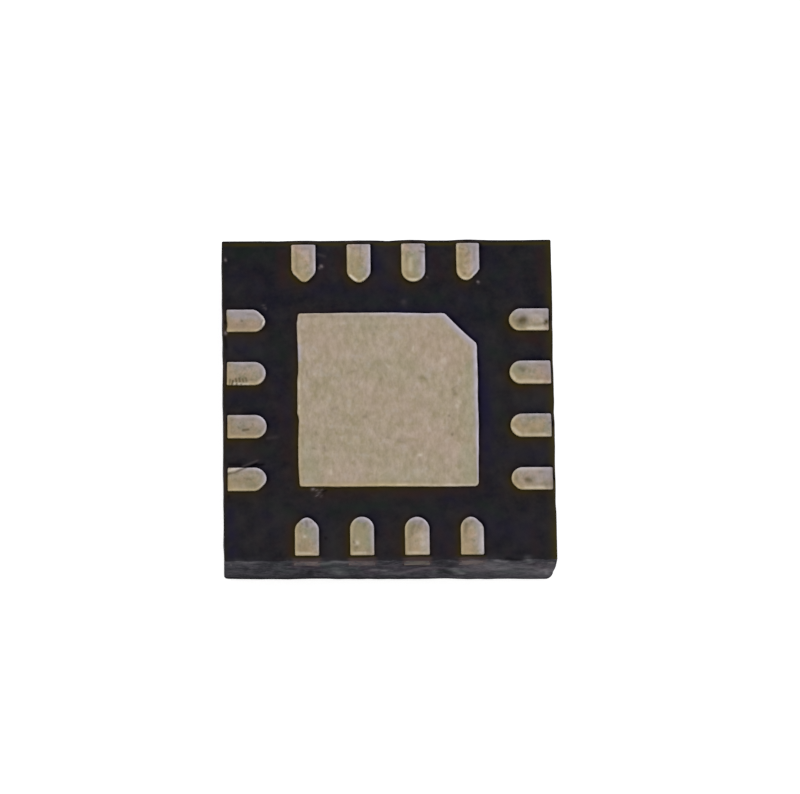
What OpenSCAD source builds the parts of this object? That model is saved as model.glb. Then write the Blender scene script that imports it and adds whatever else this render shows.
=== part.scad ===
// Memory chip in a quad flat package without legs, with sixteen leads, sawn out of a moulded strip.
// It lies on its marked face, so the lands and the die pad look up, along +Z.
// The origin is the middle of the marked face. X runs to the right and Y to the back.
// Lead 1 is the back one on the right, beside the pad's cut corner. The numbers then run
// along the right, the front, the left and the back. All sizes are in millimetres.

/* [Body] */
// Side of the square moulded body, from saw cut to saw cut
body_side = 3.04; // [2.96:0.02:3.20]
// Height of the mould, from the marked face to the soldering side
mould_height = 0.73; // [0.70:0.01:0.95]
// Wear radius of the upright corner at the front right
worn_right_r = 0.02; // [0.02:0.01:0.12]
// Wear radius of the upright corner at the front left
worn_left_r = 0.02; // [0.01:0.01:0.12]
// How far the flat worn at the marked face's front right corner runs along the three edges there
worn_tip_right = 0.08; // [0.05:0.01:0.20]
// How far the flat at its front left corner runs
worn_tip_left = 0.06; // [0.04:0.01:0.20]
// Width of the round mark beside lead 1, on the marked face
mark_d = 0.30; // [0.20:0.05:0.40]
// Depth of that mark
mark_depth = 0.02; // [0.01:0.01:0.05]
// Distance from the mark's middle to the two nearest walls
mark_inset = 0.43; // [0.36:0.01:0.60]

/* [Lead frame] */
// Thickness of the copper sheet, plating included
frame_thickness = 0.20; // [0.15:0.01:0.25]
// Thickness that half etching leaves, on the die's side of the sheet
ledge_thickness = 0.10; // [0.07:0.01:0.11]
// How far the lands and the pad stand out of the mould
standoff = 0.02; // [0.01:0.01:0.04]
// How far a ledge runs past the land's or the pad's edge, towards its neighbour
ledge_reach = 0.05; // [0.03:0.01:0.06]
// How much wider a lead's ledge is than its land, on each side
ledge_side = 0.015; // [0.005:0.005:0.020]
// Width of a tie bar
tie_width = 0.12; // [0.08:0.01:0.14]
// Width of a tie bar at its root on the paddle
tie_root_width = 0.26; // [0.20:0.01:0.30]
// Length over which a tie bar narrows from its root
tie_taper = 0.12; // [0.08:0.01:0.15]

/* [Lands] */
// Distance from one lead to the next
pitch = 0.50; // [0.46:0.01:0.52]
// Width of a land
land_width = 0.22; // [0.18:0.01:0.25]
// How far a land reaches in from the wall
land_reach = 0.41; // [0.35:0.01:0.43]
// How far a land's outer end stops short of the wall
pull_back = 0.04; // [0.01:0.01:0.06]
// Depth of the step there, below the mould's face
pull_back_depth = 0.03; // [0.02:0.01:0.05]

/* [Die pad] */
// Side of the square pad
pad_side = 1.64; // [1.60:0.01:1.70]
// Length that its cut corner takes off two sides
pad_cut = 0.30; // [0.20:0.01:0.35]
// Radius of its other corners
pad_corner_r = 0.03; // [0.01:0.01:0.06]

/* [Die] */
// Size of the die along X
die_x = 1.40; // [1.25:0.01:1.45]
// Size of the die along Y
die_y = 1.25; // [1.20:0.01:1.45]
// Thickness of the die
die_thickness = 0.20; // [0.10:0.01:0.21]
// Thickness of the adhesive film that holds it
attach_thickness = 0.025; // [0.015:0.005:0.030]
// How far the film runs out past the die
attach_margin = 0.03; // [0.01:0.01:0.04]
// Side of a bond pad
bond_pad_side = 0.075; // [0.070:0.005:0.090]
// Depth of the opening over a bond pad
bond_pad_depth = 0.003; // [0.002:0.001:0.004]
// Distance from one bond pad to the next
bond_pad_pitch = 0.26; // [0.20:0.01:0.28]
// Distance from a bond pad's middle to the die's edge
bond_pad_inset = 0.07; // [0.06:0.01:0.09]

/* [Bond wires] */
// Thickness of a wire
wire_d = 0.025; // [0.018:0.001:0.030]
// Width of the ball at its start
ball_d = 0.060; // [0.050:0.002:0.066]
// Height of the ball
ball_height = 0.016; // [0.012:0.001:0.020]
// Height of the loop above the die
loop_height = 0.13; // [0.10:0.01:0.14]
// Distance from a ledge's inner end to where its wire comes down
stitch_run = 0.065; // [0.055:0.005:0.090]

/* [Hidden] */
$fn = 64;
LEADS_PER_SIDE = 4;
LEADS = 4 * LEADS_PER_SIDE;
MORE = 0.1; // what a cutter takes past a face that it opens

function two_digits(n) = str(n < 10 ? "0" : "", n);
function lead_name(n) = str("lead_", two_digits(n));
function wire_name(n) = str("bond_wire_", two_digits(n));

wall = body_side / 2;
frame_top = mould_height + standoff;
frame_z = frame_top - frame_thickness;
land_in = wall - land_reach;
land_out = wall - pull_back;
cut_end_top = mould_height - pull_back_depth;
ledge_width = land_width + 2 * ledge_side;
die_top = frame_z - attach_thickness;
die_face = die_top - die_thickness;
bond_z = die_face + bond_pad_depth;

// Place of lead n: the side of the body, its place along that side and how far that is from
// the side's middle. Sides are turned from the right one, which faces +X.
function side_of(n) = floor((n - 1) / LEADS_PER_SIDE);
function place_of(n) = (n - 1) % LEADS_PER_SIDE;
function steps_from_middle(n) = (LEADS_PER_SIDE - 1) / 2 - place_of(n);
function lead_y(n) = steps_from_middle(n) * pitch;
// The side of an end lead that faces the package corner: 1, -1, or 0 on the leads between
function corner_of(n) = place_of(n) == 0 ? 1 : place_of(n) == LEADS_PER_SIDE - 1 ? -1 : 0;
// The middle of bond pad n, on a side that is turned to face +X
function die_reach(n) = (side_of(n) % 2 == 0 ? die_x : die_y) / 2;
function bond_pad_at(n) = [die_reach(n) - bond_pad_inset, steps_from_middle(n) * bond_pad_pitch];
function stitch_at(n) = [land_in - ledge_reach + stitch_run, lead_y(n)];

module turned_to_side(n) {
    rotate([0, 0, -90 * side_of(n)]) children();
}

// The body's outline: a square with its two worn corners rounded
module body_outline() {
    difference() {
        square(body_side, center = true);
        corner_waste([wall, -wall], worn_right_r);
        corner_waste([-wall, -wall], worn_left_r);
    }
}

// What rounding takes off the corner at a given point of an outline about the origin
module corner_waste(corner, r) {
    inward = [-sign(corner.x), -sign(corner.y)];
    difference() {
        translate(corner) square(2 * r, center = true);
        translate(corner + r * inward) circle(r);
        translate(corner + r * inward + r * [inward.x, 0]) square(2 * r, center = true);
        translate(corner + r * inward + r * [0, inward.y]) square(2 * r, center = true);
    }
}

// What wear takes off a corner of the marked face: all beyond a flat that crosses the three edges
// there at the given reach and leans the same way to each
module worn_tip_waste(corner, reach) {
    lean = 180 - acos(1 / sqrt(3));
    translate([corner.x, corner.y, 0])
    rotate([0, lean, atan2(corner.y, corner.x)])
    translate([-reach, -reach, -reach / sqrt(3)])
    cube(2 * reach);
}

// A lead seen from above, on the +X side: straight sides and an inner end that is half round,
// or on an end lead cut straight on the side that faces the package corner.
module lead_outline(inner, outer, width, corner) {
    r = width / 2;
    translate([inner + r, -r]) square([outer - inner - r, width]);
    difference() {
        translate([inner + r, 0]) circle(r);
        if (corner != 0) {
            translate([inner, corner > 0 ? 0 : -r]) square(r);
        }
    }
    if (corner != 0) {
        polygon([[inner + r, 0], [inner, 0], [inner + r, corner * r]]);
    }
}

// Lead n: a land as thick as the sheet, a half-etched ledge past its inner end and sides, and
// a foot that runs under the mould's rim to the sawn end in the wall.
module lead(n) {
    corner = corner_of(n);
    color([0.66, 0.61, 0.54])
    turned_to_side(n)
    translate([0, lead_y(n), frame_z]) {
        linear_extrude(ledge_thickness) {
            lead_outline(land_in - ledge_reach, wall, ledge_width, corner);
        }
        linear_extrude(frame_thickness) {
            lead_outline(land_in, land_out, land_width, corner);
        }
        translate([land_out - land_width, -land_width / 2, 0]) {
            cube([wall - land_out + land_width, land_width, cut_end_top - frame_z]);
        }
    }
}

// The pad's outline: a square with one corner cut to mark lead 1 and the others just rounded
module pad_outline(grown) {
    half = pad_side / 2 + grown;
    cut = pad_cut + grown * (2 - sqrt(2));
    difference() {
        square(2 * half, center = true);
        translate([half, half]) rotate(45) square(cut * sqrt(2), center = true);
        corner_waste([half, -half], pad_corner_r);
        corner_waste([-half, -half], pad_corner_r);
        corner_waste([-half, half], pad_corner_r);
    }
}

// A tie bar seen from above, from the paddle's middle out along +X and past the corner
module tie_outline() {
    root = (pad_side / 2 + ledge_reach) * sqrt(2) - tie_taper / 2;
    tip = wall * sqrt(2) + MORE;
    polygon([
        [0, -tie_root_width / 2],
        [root, -tie_root_width / 2],
        [root + tie_taper, -tie_width / 2],
        [tip, -tie_width / 2],
        [tip, tie_width / 2],
        [root + tie_taper, tie_width / 2],
        [root, tie_root_width / 2],
        [0, tie_root_width / 2]
    ]);
}

// The die paddle: the exposed pad, a half-etched ledge all round it, and four half-etched tie
// bars whose sawn ends lie in the package corners.
module die_paddle() {
    color([0.66, 0.61, 0.54])
    translate([0, 0, frame_z]) {
        linear_extrude(frame_thickness) pad_outline(0);
        linear_extrude(ledge_thickness) {
            pad_outline(ledge_reach);
            intersection() {
                body_outline();
                for (turn = [45:90:315]) {
                    rotate(turn) tie_outline();
                }
            }
        }
    }
}

// The adhesive film between the paddle and the die, squeezed out a little all round
module die_attach() {
    x = die_x / 2 + attach_margin;
    y = die_y / 2 + attach_margin;
    color([0.75, 0.75, 0.72])
    translate([0, 0, die_top])
    linear_extrude(attach_thickness)
    difference() {
        square([2 * x, 2 * y], center = true);
        corner_waste([x, y], attach_margin);
        corner_waste([x, -y], attach_margin);
        corner_waste([-x, -y], attach_margin);
        corner_waste([-x, y], attach_margin);
    }
}

// The silicon die, face down, with an opening in its cover layer over each bond pad
module memory_die() {
    color([0.35, 0.37, 0.45])
    difference() {
        translate([-die_x / 2, -die_y / 2, die_face]) cube([die_x, die_y, die_thickness]);
        for (n = [1:LEADS]) {
            turned_to_side(n)
            translate([bond_pad_at(n).x, bond_pad_at(n).y, bond_z - MORE / 2]) {
                cube([bond_pad_side, bond_pad_side, MORE], center = true);
            }
        }
    }
}

// A bond wire is a row of eight-sided rings, each given as its distance along the wire's line,
// its height over the lead frame's face (which looks down), the wire's direction there as an
// angle, and its half width and half height.
RING_SIDES = 8;
LOOP_STEPS = 7;
FLAT = cos(180 / RING_SIDES);

// Ball: heights as parts of the ball's height, and widths as parts of its width
BALL_FORM = [[0, 0.86], [0.2, 1], [0.75, 1], [1, 0.62]];
// Loop: how far its two control points lie above the die, as parts of the loop's height, and
// how far along the span the second one lies
LOOP_LIFT = [1.8, 1.05];
LOOP_LEAN = 0.45;
// Stitch: distances past the touch-down, half widths and half heights, in wire radii
STITCH_FORM = [[0, 1.3, 0.7], [2.4, 2.0, 0.34], [4, 1.7, 0.2]];

function bezier(p, t) =
    pow(1 - t, 3) * p[0] + 3 * pow(1 - t, 2) * t * p[1] + 3 * (1 - t) * t * t * p[2] + pow(t, 3) * p[3];
function bezier_way(p, t) =
    pow(1 - t, 2) * (p[1] - p[0]) + 2 * (1 - t) * t * (p[2] - p[1]) + t * t * (p[3] - p[2]);

function ball_rings(start) = [
    for (form = BALL_FORM)
        [0, start + form[0] * ball_height, 90, form[1] * ball_d / 2, form[1] * ball_d / 2]
];
function loop_rings(start, span) =
    let (
        neck = start + ball_height + wire_d / 2,
        points = [
            [0, neck],
            [0, start + LOOP_LIFT[0] * loop_height],
            [LOOP_LEAN * span, start + LOOP_LIFT[1] * loop_height],
            [span, wire_d / 2]
        ]
    )
    [
        for (i = [0:LOOP_STEPS - 1])
            let (t = i / LOOP_STEPS, at = bezier(points, t), way = bezier_way(points, t))
            [at.x, at.y, atan2(way.y, way.x), wire_d / 2, wire_d / 2]
    ];
function stitch_rings(span) = [
    for (form = STITCH_FORM)
        [
            span + form[0] * wire_d / 2,
            form[2] * wire_d / 2 * FLAT,
            0,
            form[1] * wire_d / 2,
            form[2] * wire_d / 2
        ]
];

// The corners of one ring, in a frame with X along the wire and Z up to the lead frame
function ring_corners(ring) = [
    for (i = [0:RING_SIDES - 1])
        let (
            angle = (i + 0.5) * 360 / RING_SIDES,
            aside = ring[3] * cos(angle),
            out = ring[4] * sin(angle)
        )
        [ring[0] - out * sin(ring[2]), aside, -(ring[1] + out * cos(ring[2]))]
];

// A closed tube through the rings, with flat ends
module tube_of_rings(rings) {
    last = len(rings) - 1;
    points = [for (ring = rings) each ring_corners(ring)];
    walls = [
        for (k = [0:last - 1], i = [0:RING_SIDES - 1])
            let (
                a = k * RING_SIDES + i,
                b = k * RING_SIDES + (i + 1) % RING_SIDES
            )
            each [[a, b, b + RING_SIDES], [a, b + RING_SIDES, a + RING_SIDES]]
    ];
    start = [for (i = [RING_SIDES - 1:-1:0]) i];
    end = [for (i = [0:RING_SIDES - 1]) last * RING_SIDES + i];
    polyhedron(points, concat([start], walls, [end]));
}

// Wire n: from the ball on its bond pad, over the die's edge, down to the stitch on its lead
module bond_wire(n) {
    from = bond_pad_at(n);
    along = stitch_at(n) - from;
    span = norm(along);
    start = frame_z - bond_z;
    color([0.85, 0.68, 0.30])
    turned_to_side(n)
    translate([from.x, from.y, frame_z])
    rotate([0, 0, atan2(along.y, along.x)]) {
        tube_of_rings(concat(ball_rings(start), loop_rings(start, span), stitch_rings(span)));
    }
}

// The moulded body: all of the block that the pieces inside it leave free
module moulded_body() {
    color([0.13, 0.13, 0.16])
    difference() {
        linear_extrude(mould_height) body_outline();
        translate([wall - mark_inset, wall - mark_inset, mark_depth - MORE]) {
            cylinder(d = mark_d, h = MORE);
        }
        worn_tip_waste([wall, -wall], worn_tip_right);
        worn_tip_waste([-wall, -wall], worn_tip_left);
        die_paddle();
        die_attach();
        memory_die();
        for (n = [1:LEADS]) {
            lead(n);
            bond_wire(n);
        }
    }
}

moulded_body();
die_paddle();
die_attach();
memory_die();
for (n = [1:LEADS]) {
    lead(n);
    bond_wire(n);
}
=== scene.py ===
import math

import bpy
import numpy as np
from mathutils import Matrix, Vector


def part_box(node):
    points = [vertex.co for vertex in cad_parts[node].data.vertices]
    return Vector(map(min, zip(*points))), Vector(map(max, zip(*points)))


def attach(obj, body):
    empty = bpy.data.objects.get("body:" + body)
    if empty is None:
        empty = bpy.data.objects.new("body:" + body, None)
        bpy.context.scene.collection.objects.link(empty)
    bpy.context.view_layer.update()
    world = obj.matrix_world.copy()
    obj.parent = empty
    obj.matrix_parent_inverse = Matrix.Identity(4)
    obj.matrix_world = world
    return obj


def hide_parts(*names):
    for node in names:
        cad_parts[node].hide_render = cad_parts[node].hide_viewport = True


# A memory chip in a flat package without legs, lying on its marked face, so that its sixteen lands
# and the pad between them look up. Lengths are in millimetres, and MM turns them into metres.
# A lead's own frame has one axis out from the package's middle and one to the side, and a side's
# number turns it: 0 faces right, 1 front, 2 left and 3 back.

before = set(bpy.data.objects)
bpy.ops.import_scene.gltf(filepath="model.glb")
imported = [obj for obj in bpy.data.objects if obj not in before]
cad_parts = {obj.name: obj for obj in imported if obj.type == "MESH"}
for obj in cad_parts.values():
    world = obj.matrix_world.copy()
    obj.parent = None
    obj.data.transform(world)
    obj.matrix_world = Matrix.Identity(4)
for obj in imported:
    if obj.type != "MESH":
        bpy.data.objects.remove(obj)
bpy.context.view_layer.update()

MM = 0.001
SIDES = 4
LEADS_PER_SIDE = 4
LEADS = range(1, SIDES * LEADS_PER_SIDE + 1)
# The order in which every ring of points goes round the four sides
WAY_ROUND = (0, 3, 2, 1)


# Sizes

def box_of(node):
    """The lowest and the highest corner of a node's box, in millimetres."""
    low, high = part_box(node)
    return np.array(low) / MM, np.array(high) / MM


body_high = box_of("moulded_body")[1]
lead_low, lead_high = box_of("lead_02")
next_high = box_of("lead_03")[1]
WALL = body_high[0]
MOULD_TOP = body_high[2]
PITCH = lead_high[1] - next_high[1]
FRAME_BOTTOM, FRAME_TOP = lead_low[2], lead_high[2]
LEDGE_IN = lead_low[0]
LEDGE_HALF = (lead_high[1] - lead_low[1]) / 2

LEDGE_REACH = 0.05
LEDGE_THICKNESS = 0.10
PULL_BACK = 0.04
PULL_BACK_DEPTH = 0.03
LEDGE_TOP = FRAME_BOTTOM + LEDGE_THICKNESS
CUT_END_TOP = MOULD_TOP - PULL_BACK_DEPTH
# Where the sides of the lands and the pad come up out of the groove round them
SIDE_TOP = MOULD_TOP - 0.006
# A lead's surface beyond the first value and below the second is its sawn end
SAWN_FROM, SUNK_BELOW = WALL - 0.002, MOULD_TOP - 0.01
LAND_CORNER_R = 0.014
# About half the width of a land
LAND_HALF = 0.105
# How far an end lead's ledge is cut on the side of the package's corner
END_LEDGE_CUT = 0.9
# Small turns, in radians, over which a land's inner end is averaged to soften its corners
END_TURNS = (-0.36, -0.24, -0.12, 0.0, 0.12, 0.24, 0.36)
# The plating's rounded rim: its radius, how far it stays under the frame's top, and the angles of
# the rings that it is made of
RIM_R = 0.011
RIM_SAG = 0.0012
RIM_ANGLES = np.radians(np.linspace(0, 75, 6))

PAD_HALF = 0.82
PAD_CUT = 0.30
# Front right, front left and back left corners
PAD_CORNER_R = (0.036, 0.022, 0.022)
# The plain square in the middle of the pad
SQUARE_HALF = 0.60
TIE_HALF = 0.06
TIE_ROOT_HALF = 0.13
TIE_TAPER = 0.12

MARK_INSET = 0.43
MARK_R = 0.15
MARK_DEPTH = 0.02

# How far each wall was sawn inside the package's largest size, in thousandths of a millimetre, at
# even steps between the two places that come first; for the front wall this holds at its foot
WALL_INSETS = {
    "right": (-1.45, 1.47, (
        1, 1, 1, 1, 1, 7, 4, 3, 5, 6, 4, 1, 1, 1, 6, 2, 3, 3, 3, 7, 6, 4, 2, 4, 2, 1, 1, 1, 1, 4, 3,
        4,
    )),
    "left": (-1.28, 1.48, (
        23, 17, 20, 21, 21, 19, 21, 21, 18, 20, 21, 21, 21, 21, 20, 18, 19, 20, 24, 23, 19, 23, 20,
        18, 19, 17, 19, 19, 18, 17,
    )),
    "back": (-1.44, 1.4, (
        10, 10, 10, 9, 10, 12, 9, 7, 6, 10, 9, 9, 8, 5, 6, 8, 12, 6, 3, 3, 9, 9, 10, 4, 1, 5, 8, 9,
        10, 10, 9, 7,
    )),
    "front": (-1.46, 1.38, (
        20, 17, 16, 14, 15, 14, 12, 14, 16, 16, 15, 10, 11, 9, 11, 8, 9, 7, 8, 7, 9, 11, 11, 6, 3,
        5, 3, 5, 5, 3, 1, 1,
    )),
}
FRONT_TOP_INSET = 0.013
# How deep into the package the walls' insets are felt
INSET_FADE = 0.12
# How far copper stands out of a sawn wall, smeared by the blade
COPPER_PROUD = 0.0012
# Radii of the upright edges, named by their place in the photograph
CORNER_R = {"front right": 0.006, "front left": 0.02, "back": 0.014}
# How much larger the worn front right corner's radius is at its foot
WORN_FOOT_R = 0.070
# Radius of the edge round the marked face
FOOT_EDGE_R = 0.014
# The worn tips of the marked face's front corners: where each lies along X, and how far its
# rounding of TIP_R runs along the edges
TIPS = {1: 0.04, -1: 0.05}
TIP_R = 0.35
TIP_INSETS = {1: (0.002, 0.002), -1: (0.021, 0.020)}

# Cells of the lattice that the mould's faces are divided into: a cell has CELL steps a side, and
# the middle one reaches out to INNER
CELL = 30
INNER = 2 * PITCH
# How far from metal the mould still shows its fringes
NEAR_METAL = 0.5

# Points of a piece that fall into one cell of this size become one; the cells are shifted by a
# share of their size, so that round values don't lie on their borders
WELD, WELD_SHIFT = 2e-6, 0.37
SHARP_ANGLE = math.radians(48)


# Marks that the photograph shows
#
# A mark is a straight stroke: the place where it starts, the place where it ends, its width and its
# strength. A round mark gives its place once. Places and widths are in thousandths of a millimetre
# and strengths in hundredths.
PER_MM, PER_ONE = 1000, 100

# Chips out of the mould's top edge
EDGE_CHIPS = [
    (1380, -1520, 1440, -1520, 35, 90), (1200, -1520, 1240, -1520, 30, 50),
    (1310, -1520, 1330, -1520, 25, 60), (1080, -1520, 1120, -1520, 25, 50),
    (450, -1520, 500, -1520, 25, 40), (950, -1520, 980, -1520, 25, 40),
    (-300, -1520, -260, -1520, 30, 30), (1520, 620, 1520, 700, 40, 40),
    (1520, -420, 1520, -360, 40, 50), (-1520, -900, -1520, -940, 40, 40),
]
# Each land's half width, how far it lies aside, and where its inner and its outer end are, in
# millimetres
LAND_SHAPES = {
    1: (0.104, 0.0, 1.117, 1.484), 2: (0.109, 0.0, 1.115, 1.496), 3: (0.109, 0.0, 1.115, 1.49),
    4: (0.105, 0.0, 1.115, 1.496), 5: (0.105, 0.0, 1.105, 1.466), 6: (0.112, 0.0, 1.105, 1.466),
    7: (0.109, 0.0, 1.101, 1.466), 8: (0.109, 0.0, 1.105, 1.467), 9: (0.109, -0.0055, 1.11, 1.478),
    10: (0.109, 0.0, 1.106, 1.478), 11: (0.109, 0.0, 1.11, 1.478), 12: (0.105, 0.0, 1.11, 1.478),
    13: (0.1115, 0.006, 1.11, 1.475), 14: (0.109, 0.0, 1.11, 1.477), 15: (0.109, 0.0, 1.116, 1.48),
    16: (0.1055, 0.0, 1.124, 1.482),
}
# How far the inner end of a land is cut towards a chord, on its left and right side looking out;
# the others are cut as their ledges are
END_CUT = {
    1: (0.3, 0.0), 4: (0.0, 0.25), 5: (0.65, 0.1), 6: (0.15, 0.1), 7: (0.1, 0.1), 8: (0.45, 0.45),
    9: (0.5, 0.1), 12: (0.1, 0.65), 13: (0.85, 0.6), 14: (0.35, 0.35), 16: (0.0, 0.9),
}
# Dark dents and spots on the lands, each in its lead's own frame: out from the middle, and aside
LAND_STAINS = {
    1: [(1228, -12, 1255, -6, 40, 120), (1462, -24, 24, 140), (1448, -40, 18, 110)],
    2: [(1215, 34, 1238, 24, 26, 60), (1235, 20, 13, 40)],
    3: [(1235, 0, 1262, -4, 22, 35), (1478, 20, 12, 60)],
    4: [(1250, -12, 1274, -18, 28, 90), (1240, 10, 1290, 20, 20, 25),
        (1495, -100, 1495, 100, 22, 50)],
    5: [(1180, -55, 1240, -65, 22, 55), (1150, 0, 1180, -30, 20, 40), (1360, 40, 30, 15)],
    6: [(1150, 40, 1200, 10, 22, 50), (1180, -30, 1260, -50, 24, 50), (1220, 0, 1250, -10, 18, 40)],
    7: [(1335, -78, 1350, -70, 14, 60), (1170, 30, 1200, 20, 24, 30), (1385, -55, 22, 45)],
    8: [(1150, -4, 1185, 0, 18, 60), (1150, 38, 13, 45), (1168, -42, 13, 45), (1215, 50, 14, 30),
        (1380, -30, 1410, -10, 24, 20)],
    9: [(1500, -46, 1400, -62, 13, 90), (1400, -62, 1300, -108, 12, 90),
        (1300, -108, 1260, -125, 11, 70), (1265, 2, 1310, -6, 18, 50), (1330, 10, 1400, 4, 24, 25)],
    10: [(1275, 28, 1320, 34, 15, 100), (1270, 0, 1330, 10, 30, 20), (1235, -20, 12, 50),
        (1362, 8, 11, 50), (1345, -35, 10, 45), (1290, -55, 11, 35), (1400, 45, 12, 35)],
    11: [(1385, 52, 1378, 78, 11, 100), (1352, 46, 1347, 75, 12, 110), (1322, 54, 1316, 76, 10, 90),
        (1292, 46, 1287, 70, 12, 90), (1440, 60, 1450, 120, 11, 80), (1410, 70, 1425, 120, 12, 120),
        (1375, 98, 1380, 125, 11, 110), (1335, 102, 1332, 125, 10, 90),
        (1290, 88, 1400, 80, 14, 35)],
    12: [(1325, 5, 14, 70), (1365, 40, 12, 40), (1476, 20, 1476, 60, 14, 90),
        (1135, 0, 1152, 30, 13, 50), (1300, 40, 1360, 30, 30, 20)],
    14: [(1200, -30, 1300, -10, 30, 15), (1340, -12, 1470, -16, 11, 35), (1190, 50, 14, 40)],
    15: [(1200, -20, 1300, -30, 30, 18), (1170, 50, 1200, 60, 20, 30),
        (1400, -60, 1395, -100, 12, 60), (1455, -80, 1440, -105, 12, 50)],
    16: [(1285, 12, 20, 50), (1360, 20, 1390, -10, 20, 40), (1190, 30, 16, 50),
        (1415, 20, 1425, 70, 14, 35)],
}
# Light flecks and raised burrs on the lands
LAND_BURRS = {
    1: [(1300, -85, 1420, -83, 22, 40), (1300, 30, 1420, 30, 30, 15), (1415, 0, 24, 30)],
    2: [(1200, -85, 1400, -88, 22, 25), (1140, -20, 1160, -60, 18, 30)],
    3: [(1140, -30, 1200, -85, 18, 30), (1250, -90, 1420, -90, 18, 20)],
    4: [(1170, 85, 1380, 90, 22, 20), (1250, -90, 1400, -90, 20, 30)],
    5: [(1220, 80, 1440, 84, 30, 25), (1210, 78, 15, 50)],
    6: [(1300, 50, 1420, 60, 50, 20), (1445, -80, 1445, 80, 18, 25)],
    7: [(1345, -48, 20, 45), (1445, -70, 1445, 20, 18, 30)],
    8: [(1285, -20, 14, 40), (1440, -80, 1445, 20, 18, 30)],
    9: [(1470, -76, 1400, -90, 16, 50), (1400, -90, 1345, -108, 13, 40)],
    11: [(1400, 100, 1280, 104, 14, 60), (1345, 98, 13, 60), (1398, 92, 13, 60)],
    12: [(1120, -5, 1150, -60, 16, 50), (1122, 0, 1128, 30, 12, 80)],
    13: [(1150, 70, 1190, 100, 15, 60), (1158, 62, 12, 60)],
    14: [(1128, 30, 1165, 75, 16, 70), (1140, -45, 14, 50)],
    15: [(1225, 26, 1330, 22, 18, 25), (1132, -30, 1132, 40, 15, 40)],
    16: [(1142, -35, 1185, -90, 15, 70), (1136, 0, 1146, 50, 14, 35)],
}
# How strongly the painted rim highlight shows at each side's outer ends
END_RIM_HIGHLIGHT = (0.0, 0.5, 0.0, 0.1)
# How dark each side's lands are beside the pad
LAND_SHADE = (0.30, 0.26, 0.30, 0.17)
# Hue of each land, from -1 for greenish to 1 for pinkish: its mean, and how it rises outwards and
# aside
LAND_HUE = {
    1: (0.1, 0.3, 0.0), 2: (0.05, 1.1, -0.2), 3: (-0.1, 0.0, 0.4), 4: (0.4, 0.2, -0.4),
    5: (0.1, -0.1, -0.1), 6: (-0.2, 0.1, 0.1), 7: (-0.6, 0.2, 0.0), 8: (-0.3, 0.5, 0.0),
    9: (-0.2, 0.1, 0.0), 10: (0.5, 0.0, 0.1), 11: (0.0, 0.2, 0.0), 12: (0.2, 0.1, 0.4),
    13: (0.2, 0.4, 0.1), 14: (-0.3, 0.5, 0.0), 15: (-0.3, 0.4, -0.1), 16: (0.2, 0.0, 0.0),
}
# Hue of the sawn copper ends: below zero for yellowish grey, above it for pale pink
END_HUE = {5: 0.5, 6: -0.65, 8: 0.2}
# Patches of hue on the lands: above zero for pinkish, below it for greenish
LAND_HUES = {
    1: [(1400, 40, 50, 50)],
    2: [(1170, 0, 60, -60), (1440, 30, 60, 50)],
    5: [(1200, 30, 50, -70), (1300, -30, 1420, -30, 50, 30)],
    6: [(1400, 0, 80, 30), (1200, -20, 50, -40)],
    7: [(1240, -20, 1340, 30, 60, -70), (1430, 60, 40, 70)],
    8: [(1240, 20, 60, -50), (1390, -10, 50, 70)],
    12: [(1200, 60, 1420, 60, 50, 70)],
    13: [(1440, -60, 1440, 60, 50, 50), (1180, 0, 50, -50)],
    14: [(1200, 20, 60, -50), (1450, 20, 50, 50)],
    15: [(1200, 0, 1320, 20, 60, -60), (1440, -50, 1440, 50, 50, 60)],
    16: [(1220, 60, 40, 50), (1360, -20, 50, 50), (1280, 50, 50, -50)],
}
# Patches of painted cool and warm light there, some of them painted sheen along a land's edges:
# above zero for cool, below it for warm
LAND_LIGHT_TINTS = {
    1: [(1200, 50, 1400, 50, 50, 40)],
    2: [(1160, -60, 1240, -60, 50, -60)],
    3: [(1200, 0, 1400, 0, 70, -70)],
    4: [(1350, -30, 1420, 30, 60, 40)],
    5: [(1180, 85, 1440, 85, 30, 90), (1250, -30, 1400, -30, 50, -40)],
    6: [(1130, -40, 1140, 40, 35, 70), (1250, 0, 1400, 0, 70, -30)],
    7: [(1200, 0, 1360, 20, 60, -60), (1130, 0, 40, 60)],
    8: [(1150, 0, 50, 90), (1360, 0, 1440, 0, 60, -60)],
    9: [(1200, -20, 1360, 0, 60, -40)],
    12: [(1200, -60, 1420, -60, 50, 80)],
    13: [(1160, 0, 1300, 20, 60, -50)],
    14: [(1200, 20, 1360, 20, 60, -50), (1180, -95, 1340, -95, 20, 60)],
    15: [(1150, -100, 1460, -100, 30, 90), (1180, 30, 1300, 30, 50, -50)],
    16: [(1200, 60, 1400, 60, 50, -80), (1200, -80, 1420, -80, 35, 90)],
}
# Places along each side of the pad, and how far inside its largest size the edge lies there, both
# in thousandths of a millimetre
PAD_INSETS = [
    [(-750, 3), (-530, 0), (-245, -7), (0, -1), (200, -5), (400, -1)],
    [(-700, 4), (-300, 1), (-50, 4), (200, -1), (600, -1)],
    [(-800, 8), (-740, 5), (-630, 1), (-520, -2), (-400, 0), (-290, 3), (-240, 6), (-180, 9),
     (-160, 3), (-123, -7), (-67, -2), (0, -4), (160, -4), (216, -1), (270, 5), (330, 5), (470, 3),
     (600, -1), (727, -3), (784, 5)],
    [(-700, 4), (-400, 0), (100, 0), (370, 9), (500, 6)],
]
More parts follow.
